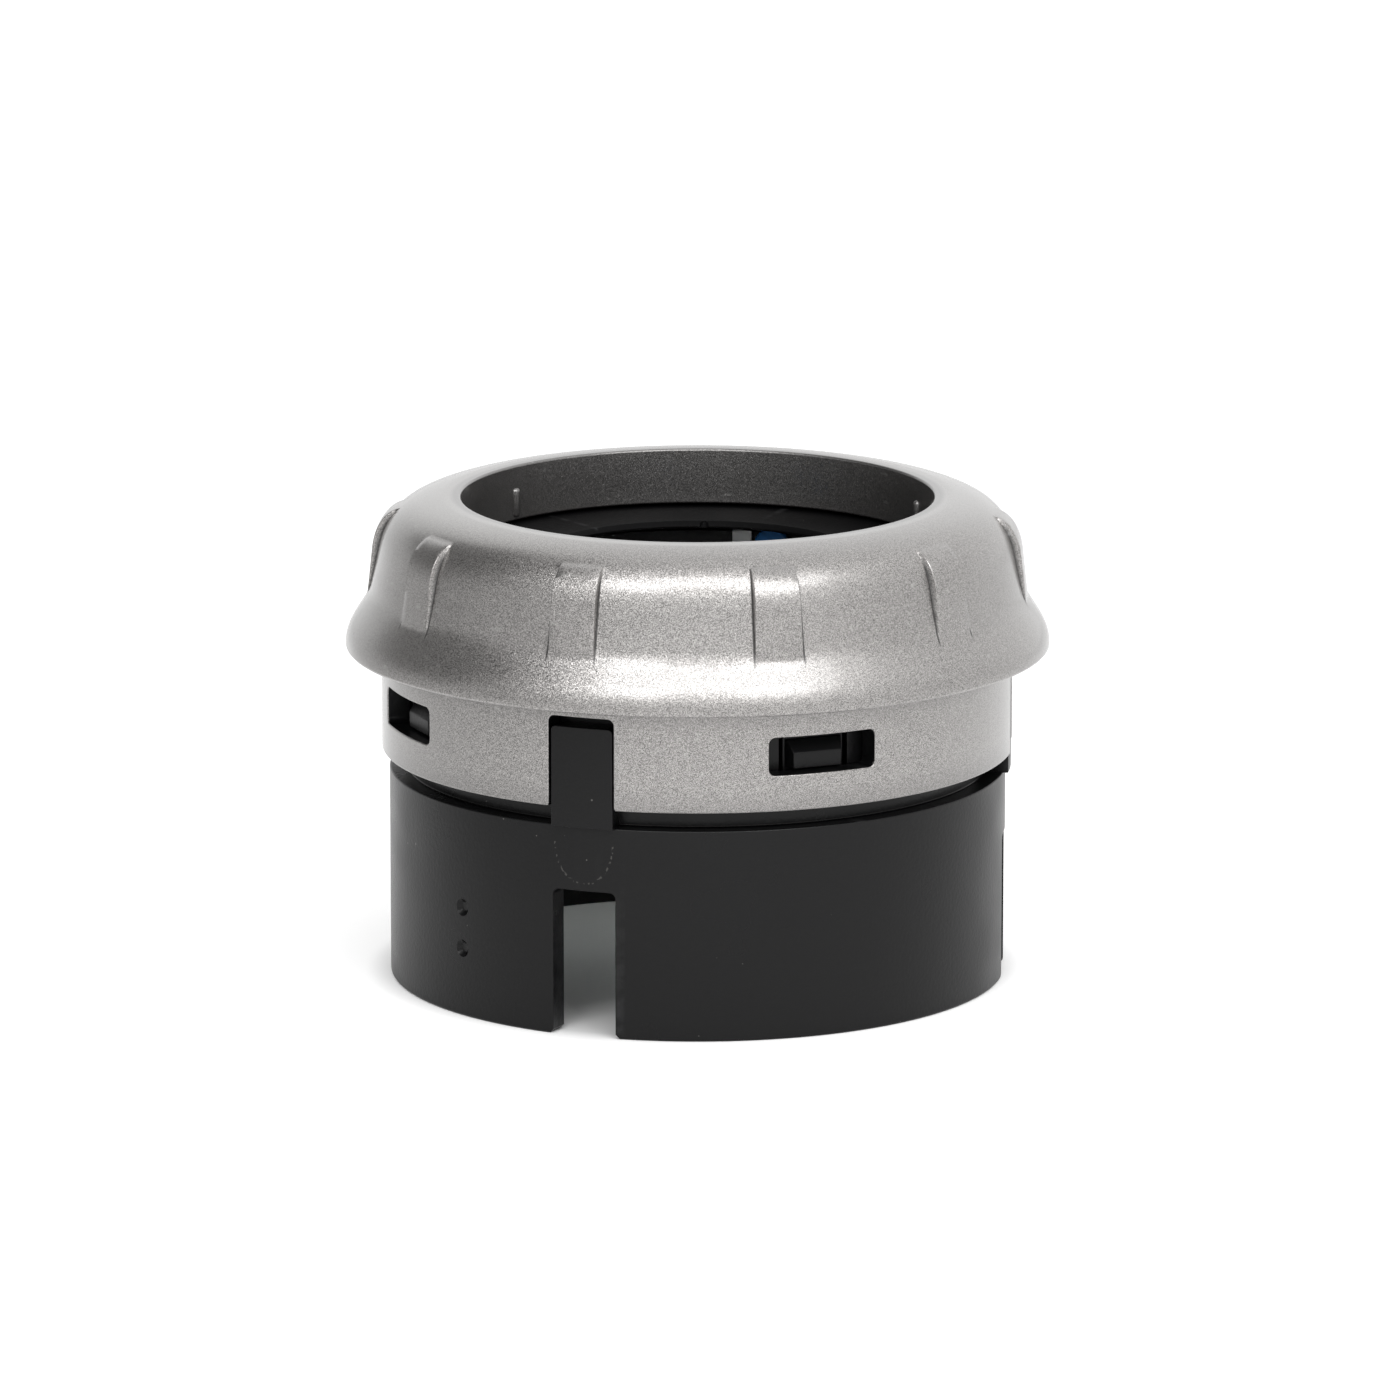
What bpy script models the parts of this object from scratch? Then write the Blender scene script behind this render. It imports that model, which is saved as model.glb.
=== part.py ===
"""Stand magnifier for judging film grain, as an assembly of separate pieces.

A silver grip cap is snapped and keyed onto a black sleeve whose skirt stands on the print. Inside the
sleeve a dial with helical slots turns about +Z; studs in those slots raise and lower the lens cell,
which the prongs of a guide ring keep from turning.

Lengths are in millimetres and azimuths in degrees until a mesh is made. Azimuth 0 is the front, on -Y,
and it grows towards +X. The origin is at the centre of the foot.
"""

import math

import bmesh
import bpy
from mathutils import Matrix

MM = 0.001
GAP = 0.3
SEGMENTS = 64
INNER_SEGMENTS = 36
SMALL_SEGMENTS = 12
HALF_FACET = 180 / SMALL_SEGMENTS
SMOOTH_ANGLE = math.radians(32)

# Sleeve: skirt below, neck inside the cap
SKIRT_RADIUS = 30.5
SKIRT_TOP = 20.9
SKIRT_WALL = 2.2
LEDGE_Z = 18.7
NECK_RADIUS = 28.7
NECK_BORE = 26.6
NECK_TOP = 45.35
FOOT_CHAMFER = 0.35
KEY_AZIMUTHS = (0.8, 108.8, -107.2)
KEY_WIDTH = 6.15
KEY_TOP = 30.8
KEY_FACE_RADIUS = 30.3
KEY_CORNER = 0.5
SLOT_WIDTH = 6.48
SLOT_TOP = 14.5
SLOT_CORNER = 0.8
SLOT_MOUTH_FLARE = 0.5
DIMPLE_AZIMUTH = -26.7
DIMPLE_HEIGHTS = (6.8, 10.9)
DIMPLE_RADIUS = 0.6
DIMPLE_DEPTH = 0.3

# Grip cap
WELL_RADIUS = 23.33
WELL_WALL = 1.97
WELL_BOTTOM = 42.3
WELL_RIB_AZIMUTHS = (13.0, 133.0, 253.0)
WELL_RIB_RADIUS = 0.5
WELL_RIB_PROUD = 0.35
WELL_RIB_SPAN = (42.7, 45.6)
CROWN_Z = 47.9
CROWN_OUTER = 25.0
CROWN_EDGE = 0.25
SHOULDER_HANDLES = ((30.25, 47.3), (31.0, 45.18))
FLANK_TOP = (31.65, 41.68)
FLANK_BOTTOM = (32.19, 39.26)
FLARE_HANDLES = ((32.65, 36.9), (34.75, 35.6))
LIP_EDGE = (34.8, 33.3)
LIP_UNDERSIDE_Z = 33.0
LIP_HOLLOW_TOP = 34.6
LIP_HOLLOW_RADII = (33.4, 32.9)
BAND_RADIUS = 31.25
BAND_BORE = 29.05
BAND_BOTTOM = 22.8
CAP_BORE = 30.2
CAP_BORE_BOTTOM = 37.4
CAP_BORE_TOP = 43.6
CAP_BORE_LEAD = 1.2
CROWN_UNDERSIDE_RADIUS = 28.95
CROWN_UNDERSIDE_Z = 45.7
SHOULDER_STEPS = 7
FLARE_STEPS = 6
PAD_COUNT = 10
PAD_TOP_WIDTH = 4.4
PAD_BOTTOM_WIDTH = 4.85
PAD_HEAD = (28.92, 46.6)
PAD_HANDLES = ((30.77, 46.4), (31.9, 44.74))
PAD_SHOULDER = (32.13, 42.49)
PAD_FOOT = (32.68, 37.4)
PAD_ROOT = ((31.2, 37.4), (30.7, 43.4), (29.9, 44.9))
PAD_STEPS = 6
NOTCH_WIDTH = 6.76
NOTCH_TOP = 31.8
WINDOW_WIDTH = 11.15
WINDOW_BOTTOM = 26.35
WINDOW_TOP = 30.1
WINDOW_CORNER = 0.8

# Snap arms in the neck
ARM_AZIMUTHS = (45.0, 135.0, -135.0, -45.0)
ARM_INNER = 27.3
ARM_OUTER = 28.4
ARM_WIDTH = 6.5
ARM_BOTTOM = 23.5
ARM_TOP = 30.7
ARM_CORNER = 0.6
ARM_HINGE = (27.6, 23.9)
ARM_DOORWAY_WIDTH = 7.2
ARM_DOORWAY = (23.1, 31.2)
HOOK_ROOT_WIDTH = 6.3
HOOK_FACE_WIDTH = 5.0
HOOK_FACE = 30.2
HOOK_TOE = 0.3
HOOK_BOTTOM = 26.7
HOOK_EDGE_Z = 28.45
HOOK_TOP = 29.3

# Focus dial: aperture plate on a drum with helical slots
APERTURE_RADIUS = 15.5
APERTURE_CHAMFER = 0.45
PLATE_RADIUS = 26.2
PLATE_TOP = 42.0
PLATE_THICKNESS = 0.7
DRUM_RADIUS = 24.7
DRUM_BORE = 23.4
DRUM_BOTTOM = 18.8
INDEX_NOTCH_COUNT = 3
INDEX_NOTCH_AZIMUTH = 199.6
INDEX_NOTCH_RADIUS = 0.45
DIAL_TRAVEL = 60.0
CELL_TRAVEL = 3.0
CAM_WIDTH = 2.9
CAM_OVERCUT = 1.2
CAM_STEPS = 16

# Lens cell and its optics
CELL_RADIUS = 23.1
CELL_CUP_BORE = 20.4
CELL_CUP_FLOOR = 35.0
CELL_BARREL_BORE = 18.4
CELL_SEAT_BORE = 16.8
CELL_SEAT_Z = 23.3
CELL_BOTTOM = 22.0
CELL_TOP = 40.2
LENS_RADIUS = 18.0
LENS_SAG = 3.6
LENS_EDGE = 1.1
LENS_GAP = 0.4
LENS_RINGS = 4
SPACER_BORE = 16.6
SPACER_CLEARANCE = 0.85
RETAINER_BORE = 16.2
RETAINER_HEIGHT = 1.1
RETAINER_SLOT_WIDTH = 1.6
RETAINER_SLOT_DEPTH = 0.6
RETAINER_SLOT_AZIMUTHS = (90.0, 270.0)

# Studs that follow the dial's slots
STUD_STATIONS = 3
STUD_AZIMUTH = 179.7
STUD_PAIR_ANGLE = 15.0
STUD_Z = 38.9
STUD_HEAD_RADIUS = 1.9
STUD_HEAD_FACE = 19.4
STUD_HEAD_THICKNESS = 0.7
STUD_SHANK_RADIUS = 1.1
STUD_END = 24.5
STUD_HOLE_RADIUS = 1.4
STUD_END_CHAMFER = 0.2
STUD_HEAD_CHAMFER = 0.3

# Drag clips over the cell's rim
CLIP_AZIMUTH = 189.0
CLIP_WIDTH = 2.0
CLIP_STEEL = 0.35
CLIP_INNER_FACE = 19.75
CLIP_OUTER_FACE = 22.85
CLIP_TOP = 40.85
CLIP_INNER_END = 36.8
CLIP_OUTER_END = 37.5
CLIP_BEND = 0.8
CLIP_SEAT_RADIUS = 22.2
CLIP_SEAT_WIDTH = 2.8
CLIP_SEAT_BOTTOM = 36.6

# Guide ring under the neck
RING_BORE = 20.6
RING_RADIUS = 28.0
RING_TOP = 18.4
RING_THICKNESS = 1.5
PRONG_AZIMUTHS = (120.0, 240.0, 0.0)
PRONG_INNER = 20.9
PRONG_OUTER = 22.7
PRONG_WIDTH = 5.8
PRONG_TOP = 30.0
PRONG_CORNER = 1.2
GROOVE_FLOOR = 20.5
GROOVE_WIDTH = 6.5
GROOVE_TOP = 33.4
SCREW_AZIMUTHS = (61.2, 181.2, 301.2)
SCREW_CIRCLE = 26.75
SCREW_SHANK_RADIUS = 0.65
SCREW_HEAD_RADIUS = 1.25
SCREW_HEAD_THICKNESS = 1.0
SCREW_TIP = 23.0
SCREW_POINT = 0.6
SCREW_HEAD_CHAMFER = 0.4
SCREW_HOLE_RADIUS = 0.95
BOSS_RADIUS = 1.45
BOSS_BOTTOM = 18.95
BOSS_TOP = 26.0


def clear_scene():
    """Remove every object of the scene."""
    for obj in list(bpy.data.objects):
        bpy.data.objects.remove(obj, do_unlink=True)


def new_collection(name, parent):
    """A collection linked under another one."""
    collection = bpy.data.collections.new(name)
    parent.children.link(collection)
    return collection


def new_material(name, colour, roughness, metallic=0.0, transmission=0.0):
    """A Principled material with one colour."""
    material = bpy.data.materials.new(name)
    material.use_nodes = True
    shader = material.node_tree.nodes["Principled BSDF"]
    shader.inputs["Base Color"].default_value = (*colour, 1.0)
    shader.inputs["Roughness"].default_value = roughness
    shader.inputs["Metallic"].default_value = metallic
    shader.inputs["Transmission Weight"].default_value = transmission
    return material


def azimuth(degrees):
    """Turn a piece drawn at the front, on -Y, to an azimuth."""
    return Matrix.Rotation(math.radians(degrees), 4, "Z")


def stand_up():
    """Turn a flat outline in XY upright, so that it faces the front."""
    return Matrix.Rotation(math.radians(90), 4, "X")


def lift(radius, z):
    """Move to a radius on the front, at a height."""
    return Matrix.Translation((0, -radius * MM, z * MM))


def bezier(start, handles, end, steps):
    """Points of a cubic curve after its start, ending on its end."""
    points = []
    for step in range(1, steps + 1):
        t = step / steps
        weights = ((1 - t) ** 3, 3 * t * (1 - t) ** 2, 3 * t * t * (1 - t), t**3)
        corners = (start, *handles, end)
        points.append(tuple(sum(w * c[i] for w, c in zip(weights, corners)) for i in (0, 1)))
    return points


def arc(centre, radius, first, last, steps):
    """Points on an arc, both ends among them, angles in degrees."""
    angles = [math.radians(first + (last - first) * step / steps) for step in range(steps + 1)]
    return [(centre[0] + radius * math.cos(a), centre[1] + radius * math.sin(a)) for a in angles]


def rounded_box(left, right, bottom, top, top_corner, bottom_corner=0.0, steps=4):
    """Outline of a rectangle whose top and bottom corners may be round."""
    points = []
    if bottom_corner:
        points += arc((left + bottom_corner, bottom + bottom_corner), bottom_corner, 180, 270, steps)
        points += arc((right - bottom_corner, bottom + bottom_corner), bottom_corner, 270, 360, steps)
    else:
        points += [(left, bottom), (right, bottom)]
    points += arc((right - top_corner, top - top_corner), top_corner, 0, 90, steps)
    points += arc((left + top_corner, top - top_corner), top_corner, 90, 180, steps)
    return points


class Workshop:
    """The collections, and the ways of making a piece or a cutter in them."""

    def __init__(self):
        scene_root = bpy.context.scene.collection
        self.pieces = new_collection("grain_focuser", scene_root)
        self.cutters = new_collection("cutters", scene_root)
        self.cutters.hide_render = True

    def add(self, name, mesh, matrix, material=None):
        """Put a mesh in the scene, as a piece with a material or as a cutter without one."""
        obj = bpy.data.objects.new(name, mesh)
        obj.matrix_world = matrix
        if material:
            mesh.materials.append(material)
            self.pieces.objects.link(obj)
        else:
            obj.hide_render = True
            obj.display_type = "WIRE"
            self.cutters.objects.link(obj)
        return obj

    def turned(self, name, profile, segments, material=None, matrix=None, solid=False):
        """A profile of (radius, height) points turned about Z; a solid one starts and ends on the axis."""
        mesh = bpy.data.meshes.new(name)
        count = len(profile)
        edges = [(i, i + 1) for i in range(count - 1)]
        if not solid:
            edges.append((count - 1, 0))
        mesh.from_pydata([(r * MM, 0, z * MM) for r, z in profile], edges, [])
        obj = self.add(name, mesh, matrix or Matrix(), material)
        screw = obj.modifiers.new("turn", "SCREW")
        screw.steps = segments
        screw.render_steps = segments
        screw.use_merge_vertices = True
        screw.merge_threshold = 1e-6
        screw.use_smooth_shade = True
        return obj

    def slab(self, name, outline, thickness, matrix, material=None):
        """A flat outline given a thickness, half to each side, as one welded mesh."""
        curve = bpy.data.curves.new(name, "CURVE")
        curve.dimensions = "2D"
        curve.fill_mode = "BOTH"
        curve.extrude = thickness * MM / 2
        spline = curve.splines.new("POLY")
        spline.points.add(len(outline) - 1)
        for point, (x, y) in zip(spline.points, outline):
            point.co = (x * MM, y * MM, 0, 1)
        spline.use_cyclic_u = True
        drawn = bpy.data.objects.new(name + "_outline", curve)
        bpy.context.scene.collection.objects.link(drawn)
        graph = bpy.context.evaluated_depsgraph_get()
        mesh = bpy.data.meshes.new_from_object(drawn.evaluated_get(graph))
        bpy.data.objects.remove(drawn, do_unlink=True)
        shape = bmesh.new()
        shape.from_mesh(mesh)
        bmesh.ops.remove_doubles(shape, verts=shape.verts, dist=1e-6)
        bmesh.ops.recalc_face_normals(shape, faces=shape.faces)
        shape.to_mesh(mesh)
        shape.free()
        mesh.name = name
        mesh.materials.clear()
        return self.add(name, mesh, matrix, material)

    def front_slab(self, name, outline, inner, outer, degrees, material=None):
        """A slab whose (across, up) outline is seen from outside, between two radii."""
        matrix = azimuth(degrees) @ lift((inner + outer) / 2, 0) @ stand_up()
        return self.slab(name, outline, outer - inner, matrix, material)

    def side_slab(self, name, outline, width, degrees, material=None):
        """A slab whose (radius, up) outline is seen along the rim, of one width."""
        return self.slab(name, outline, width, azimuth(degrees - 90) @ stand_up(), material)

    def rod(self, name, radius, inner, outer, degrees, z):
        """A round cutter that points outwards between two radii."""
        profile = [(0, outer), (radius, outer), (radius, inner), (0, inner)]
        matrix = azimuth(degrees) @ lift(0, z) @ stand_up()
        return self.turned(name, profile, SMALL_SEGMENTS, None, matrix, solid=True)

    def post(self, name, radius, bottom, top, circle, degrees, spin=0.0):
        """An upright round cutter or boss on a circle, spun so that its facets miss those of another."""
        profile = [(0, top), (radius, top), (radius, bottom), (0, bottom)]
        matrix = azimuth(degrees) @ lift(circle, 0) @ azimuth(spin)
        return self.turned(name, profile, SMALL_SEGMENTS, None, matrix, solid=True)


def combine(piece, operation, tools):
    """Join or cut a piece with other shapes, one after the other."""
    for tool in tools:
        boolean = piece.modifiers.new(f"{operation.lower()}_{tool.name}", "BOOLEAN")
        boolean.operation = operation
        boolean.object = tool


def soften(piece):
    """Shade a piece smooth but for its real edges."""
    for polygon in piece.data.polygons:
        polygon.use_smooth = True
    if piece.data.polygons:
        piece.data.set_sharp_from_angle(angle=SMOOTH_ANGLE)


def cap_outside():
    """The cap's outer line between its pads, from the crown down to the lip's edge."""
    crown = (CROWN_OUTER, CROWN_Z)
    shoulder = bezier(crown, SHOULDER_HANDLES, FLANK_TOP, SHOULDER_STEPS)
    flare = bezier(FLANK_BOTTOM, FLARE_HANDLES, LIP_EDGE, FLARE_STEPS)
    return [crown, *shoulder, FLANK_BOTTOM, *flare]


def cap_profile():
    """The cap's whole section: down the outside, under the lip and band, and up the bore to the well."""
    edge_centre = (WELL_RADIUS + CROWN_EDGE, CROWN_Z - CROWN_EDGE)
    well_edge = arc(edge_centre, CROWN_EDGE, 180, 90, 3)
    lip_width = LIP_EDGE[1] - LIP_UNDERSIDE_Z
    lip = arc((LIP_EDGE[0] - lip_width, LIP_EDGE[1]), lip_width, 0, -90, 3)[1:]
    hollow_mouth, hollow_top = LIP_HOLLOW_RADII
    under_lip = [
        (hollow_mouth, LIP_UNDERSIDE_Z),
        (hollow_top, LIP_HOLLOW_TOP),
        (BAND_RADIUS, LIP_HOLLOW_TOP),
    ]
    band = [(BAND_RADIUS, BAND_BOTTOM), (BAND_BORE, BAND_BOTTOM)]
    bore = [
        (BAND_BORE, CAP_BORE_BOTTOM - CAP_BORE_LEAD),
        (CAP_BORE, CAP_BORE_BOTTOM),
        (CAP_BORE, CAP_BORE_TOP),
        (CROWN_UNDERSIDE_RADIUS, CROWN_UNDERSIDE_Z),
    ]
    well = [
        (WELL_RADIUS + WELL_WALL, CROWN_UNDERSIDE_Z),
        (WELL_RADIUS + WELL_WALL, WELL_BOTTOM),
        (WELL_RADIUS, WELL_BOTTOM),
    ]
    return [*well_edge, *cap_outside(), *lip, *under_lip, *band, *bore, *well]


def pad_outline():
    """Side view of one grip pad: it rises out of the shoulder, runs straight down and ends in the flare."""
    return [PAD_HEAD, *bezier(PAD_HEAD, PAD_HANDLES, PAD_SHOULDER, PAD_STEPS), PAD_FOOT, *PAD_ROOT]


def taper_across(slab, axis, first, last, first_width, last_width):
    """Draw a side slab's width in along its radius, axis 0, or its height, axis 1, between two places."""
    for vertex in slab.data.vertices:
        share = (vertex.co[axis] / MM - first) / (last - first)
        vertex.co.z *= (first_width + (last_width - first_width) * share) / first_width


def build_sleeve(shop, black):
    """Skirt and neck in one turned wall, with keys, slots, doorways for the snap arms and screw bosses."""
    inner = SKIRT_RADIUS - SKIRT_WALL
    profile = [
        (NECK_BORE, NECK_TOP),
        (NECK_RADIUS, NECK_TOP),
        (NECK_RADIUS, SKIRT_TOP),
        (SKIRT_RADIUS, SKIRT_TOP),
        (SKIRT_RADIUS, FOOT_CHAMFER),
        (SKIRT_RADIUS - FOOT_CHAMFER, 0),
        (inner, 0),
        (inner, LEDGE_Z),
        (NECK_BORE, LEDGE_Z),
    ]
    sleeve = shop.turned("stand_sleeve", profile, SEGMENTS, black)
    half_key = KEY_WIDTH / 2
    key = rounded_box(-half_key, half_key, SKIRT_TOP - 1, KEY_TOP, KEY_CORNER)
    keys = [
        shop.front_slab(f"key_{i}", key, NECK_RADIUS - 1, KEY_FACE_RADIUS, degrees)
        for i, degrees in enumerate(KEY_AZIMUTHS, 1)
    ]
    bosses = [
        shop.post(f"boss_{i}", BOSS_RADIUS, BOSS_BOTTOM, BOSS_TOP, SCREW_CIRCLE, degrees)
        for i, degrees in enumerate(SCREW_AZIMUTHS, 1)
    ]
    combine(sleeve, "UNION", keys + bosses)
    half_slot = SLOT_WIDTH / 2
    half_mouth = half_slot + SLOT_MOUTH_FLARE
    slot = [(-half_mouth, -1), (half_mouth, -1), (half_mouth, 0), (half_slot, SLOT_MOUTH_FLARE)]
    slot += arc((half_slot - SLOT_CORNER, SLOT_TOP - SLOT_CORNER), SLOT_CORNER, 0, 90, 4)
    slot += arc((SLOT_CORNER - half_slot, SLOT_TOP - SLOT_CORNER), SLOT_CORNER, 90, 180, 4)
    slot += [(-half_slot, SLOT_MOUTH_FLARE), (-half_mouth, 0)]
    slots = [
        shop.front_slab(f"skirt_slot_{i}", slot, inner - 3, SKIRT_RADIUS + 2, degrees)
        for i, degrees in enumerate(KEY_AZIMUTHS, 1)
    ]
    half_door = ARM_DOORWAY_WIDTH / 2
    door = rounded_box(-half_door, half_door, *ARM_DOORWAY, WINDOW_CORNER, WINDOW_CORNER)
    doors = [
        shop.front_slab(f"arm_doorway_{i}", door, NECK_BORE - 2, NECK_RADIUS + 1, degrees)
        for i, degrees in enumerate(ARM_AZIMUTHS, 1)
    ]
    pilot = (SCREW_HOLE_RADIUS, LEDGE_Z - 1, SCREW_TIP + 1, SCREW_CIRCLE)
    pilots = [
        shop.post(f"pilot_{i}", *pilot, degrees, HALF_FACET)
        for i, degrees in enumerate(SCREW_AZIMUTHS, 1)
    ]
    dimple = (DIMPLE_RADIUS, SKIRT_RADIUS - DIMPLE_DEPTH, SKIRT_RADIUS + 1, DIMPLE_AZIMUTH)
    dimples = [shop.rod(f"dimple_{i}", *dimple, z) for i, z in enumerate(DIMPLE_HEIGHTS, 1)]
    combine(sleeve, "DIFFERENCE", slots + doors + pilots + dimples)


def build_cap(shop, silver):
    """Turned cap with ribs in its well, raised grip pads, hook windows and key notches in its band."""
    cap = shop.turned("grip_cap", cap_profile(), SEGMENTS, silver)
    rib_circle = WELL_RADIUS + WELL_RIB_RADIUS - WELL_RIB_PROUD
    ribs = [
        shop.post(f"well_rib_{i}", WELL_RIB_RADIUS, *WELL_RIB_SPAN, rib_circle, degrees)
        for i, degrees in enumerate(WELL_RIB_AZIMUTHS, 1)
    ]
    pads = []
    for i in range(PAD_COUNT):
        pad = shop.side_slab(f"grip_pad_{i + 1}", pad_outline(), PAD_BOTTOM_WIDTH, i * 360 / PAD_COUNT)
        taper_across(pad, 1, PAD_FOOT[1], PAD_HEAD[1], PAD_BOTTOM_WIDTH, PAD_TOP_WIDTH)
        pads.append(pad)
    combine(cap, "UNION", ribs + pads)
    half_window = WINDOW_WIDTH / 2
    window = rounded_box(-half_window, half_window, WINDOW_BOTTOM, WINDOW_TOP, WINDOW_CORNER, WINDOW_CORNER)
    tools = [
        shop.front_slab(f"hook_window_{i}", window, BAND_BORE - 2, BAND_RADIUS + 2, degrees)
        for i, degrees in enumerate(ARM_AZIMUTHS, 1)
    ]
    half_notch = NOTCH_WIDTH / 2
    notch = rounded_box(-half_notch, half_notch, BAND_BOTTOM - 2, NOTCH_TOP, WINDOW_CORNER)
    tools += [
        shop.front_slab(f"key_notch_{i}", notch, BAND_BORE - 2, BAND_RADIUS + 2, degrees)
        for i, degrees in enumerate(KEY_AZIMUTHS, 1)
    ]
    combine(cap, "DIFFERENCE", tools)


def build_snap_arm(shop, black, index, degrees):
    """One sprung arm with its hook, parented to an empty on the axis that it bends about."""
    half = ARM_WIDTH / 2
    plate = rounded_box(-half, half, ARM_BOTTOM, ARM_TOP, ARM_CORNER)
    arm = shop.front_slab(f"snap_arm_{index}", plate, ARM_INNER, ARM_OUTER, degrees, black)
    root = (ARM_INNER + ARM_OUTER) / 2
    hook_outline = [
        (root, HOOK_BOTTOM),
        (HOOK_FACE, HOOK_BOTTOM),
        (HOOK_FACE, HOOK_EDGE_Z),
        (ARM_OUTER + HOOK_TOE, HOOK_TOP),
        (root, HOOK_TOP),
    ]
    hook = shop.side_slab(f"hook_{index}", hook_outline, HOOK_ROOT_WIDTH, degrees)
    taper_across(hook, 0, root, HOOK_FACE, HOOK_ROOT_WIDTH, HOOK_FACE_WIDTH)
    combine(arm, "UNION", [hook])
    soften(arm)
    hinge = bpy.data.objects.new(f"snap_arm_{index}_hinge", None)
    hinge.empty_display_size = 2 * MM
    shop.pieces.objects.link(hinge)
    hinge.matrix_world = azimuth(degrees) @ lift(*ARM_HINGE)
    arm.parent = hinge
    arm.matrix_parent_inverse = hinge.matrix_world.inverted()


def cam_tools(shop):
    """Cutters of the dial's helical slots, each with a round at both ends."""
    middle = (DRUM_RADIUS + DRUM_BORE) / 2
    depth = DRUM_RADIUS - DRUM_BORE + CAM_OVERCUT
    sweep = DIAL_TRAVEL + STUD_PAIR_ANGLE
    rise = sweep * CELL_TRAVEL / DIAL_TRAVEL
    tools = []
    for station in range(STUD_STATIONS):
        last = STUD_AZIMUTH + station * 360 / STUD_STATIONS
        low = STUD_Z - rise
        name = f"cam_slot_{station + 1}"
        mesh = bpy.data.meshes.new(name)
        ends = [(0, -middle * MM, (low + side * CAM_WIDTH / 2) * MM) for side in (1, -1)]
        mesh.from_pydata(ends, [(0, 1)], [])
        strip = shop.add(name, mesh, azimuth(last - sweep))
        screw = strip.modifiers.new("helix", "SCREW")
        screw.angle = math.radians(sweep)
        screw.screw_offset = rise * MM
        screw.steps = CAM_STEPS
        screw.render_steps = CAM_STEPS
        wall = strip.modifiers.new("depth", "SOLIDIFY")
        wall.thickness = depth * MM
        wall.offset = 0
        tools.append(strip)
        for end, degrees, z in (("low", last - sweep, low), ("high", last, STUD_Z)):
            inner, outer = middle - depth, middle + depth
            tools.append(shop.rod(f"{name}_{end}_end", CAM_WIDTH / 2, inner, outer, degrees, z))
    return tools


def build_dial(shop, black):
    """Aperture plate and drum in one turned piece, with helical slots and index notches."""
    plate_bottom = PLATE_TOP - PLATE_THICKNESS
    profile = [
        (APERTURE_RADIUS, plate_bottom),
        (APERTURE_RADIUS, PLATE_TOP - APERTURE_CHAMFER),
        (APERTURE_RADIUS + APERTURE_CHAMFER, PLATE_TOP),
        (PLATE_RADIUS, PLATE_TOP),
        (PLATE_RADIUS, plate_bottom),
        (DRUM_RADIUS, plate_bottom),
        (DRUM_RADIUS, DRUM_BOTTOM),
        (DRUM_BORE, DRUM_BOTTOM),
        (DRUM_BORE, plate_bottom),
    ]
    dial = shop.turned("focus_dial", profile, SEGMENTS, black)
    notches = []
    for i in range(INDEX_NOTCH_COUNT):
        degrees = INDEX_NOTCH_AZIMUTH + i * 360 / INDEX_NOTCH_COUNT
        name = f"index_notch_{i + 1}"
        bottom, top = plate_bottom - 1, PLATE_TOP + 1
        notches.append(shop.post(name, INDEX_NOTCH_RADIUS, bottom, top, APERTURE_RADIUS, degrees))
    combine(dial, "DIFFERENCE", cam_tools(shop) + notches)


def stud_places():
    """(name, azimuth, height) of each guide stud: pairs that share one helical slot."""
    drop = STUD_PAIR_ANGLE * CELL_TRAVEL / DIAL_TRAVEL
    places = []
    for station in range(STUD_STATIONS):
        degrees = STUD_AZIMUTH + station * 360 / STUD_STATIONS
        places.append((f"guide_stud_{2 * station + 1}", degrees, STUD_Z))
        places.append((f"guide_stud_{2 * station + 2}", degrees - STUD_PAIR_ANGLE, STUD_Z - drop))
    return places


def clip_azimuths():
    """Azimuths of the drag clips, one beside each pair of studs."""
    return [CLIP_AZIMUTH + i * 360 / STUD_STATIONS for i in range(STUD_STATIONS)]


def build_cell(shop, black):
    """Turned lens barrel under an open cup, with stud holes, clip seats and grooves for the prongs."""
    profile = [
        (CELL_CUP_BORE, CELL_TOP),
        (CELL_RADIUS, CELL_TOP),
        (CELL_RADIUS, CELL_BOTTOM),
        (CELL_SEAT_BORE, CELL_BOTTOM),
        (CELL_SEAT_BORE, CELL_SEAT_Z),
        (CELL_BARREL_BORE, CELL_SEAT_Z),
        (CELL_BARREL_BORE, CELL_CUP_FLOOR),
        (CELL_CUP_BORE, CELL_CUP_FLOOR),
    ]
    cell = shop.turned("lens_cell", profile, SEGMENTS, black)
    tools = [
        shop.rod(f"hole_of_{name}", STUD_HOLE_RADIUS, CELL_CUP_BORE - 2, CELL_RADIUS + 2, degrees, z)
        for name, degrees, z in stud_places()
    ]
    half_seat = CLIP_SEAT_WIDTH / 2
    seat = [
        (-half_seat, CLIP_SEAT_BOTTOM),
        (half_seat, CLIP_SEAT_BOTTOM),
        (half_seat, CELL_TOP + 1),
        (-half_seat, CELL_TOP + 1),
    ]
    tools += [
        shop.front_slab(f"clip_seat_{i}", seat, CLIP_SEAT_RADIUS, CELL_RADIUS + 2, degrees)
        for i, degrees in enumerate(clip_azimuths(), 1)
    ]
    half_groove = GROOVE_WIDTH / 2
    groove = rounded_box(-half_groove, half_groove, CELL_BOTTOM - 1, GROOVE_TOP, PRONG_CORNER)
    tools += [
        shop.front_slab(f"prong_groove_{i}", groove, GROOVE_FLOOR, CELL_RADIUS + 2, degrees)
        for i, degrees in enumerate(PRONG_AZIMUTHS, 1)
    ]
    combine(cell, "DIFFERENCE", tools)


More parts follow.
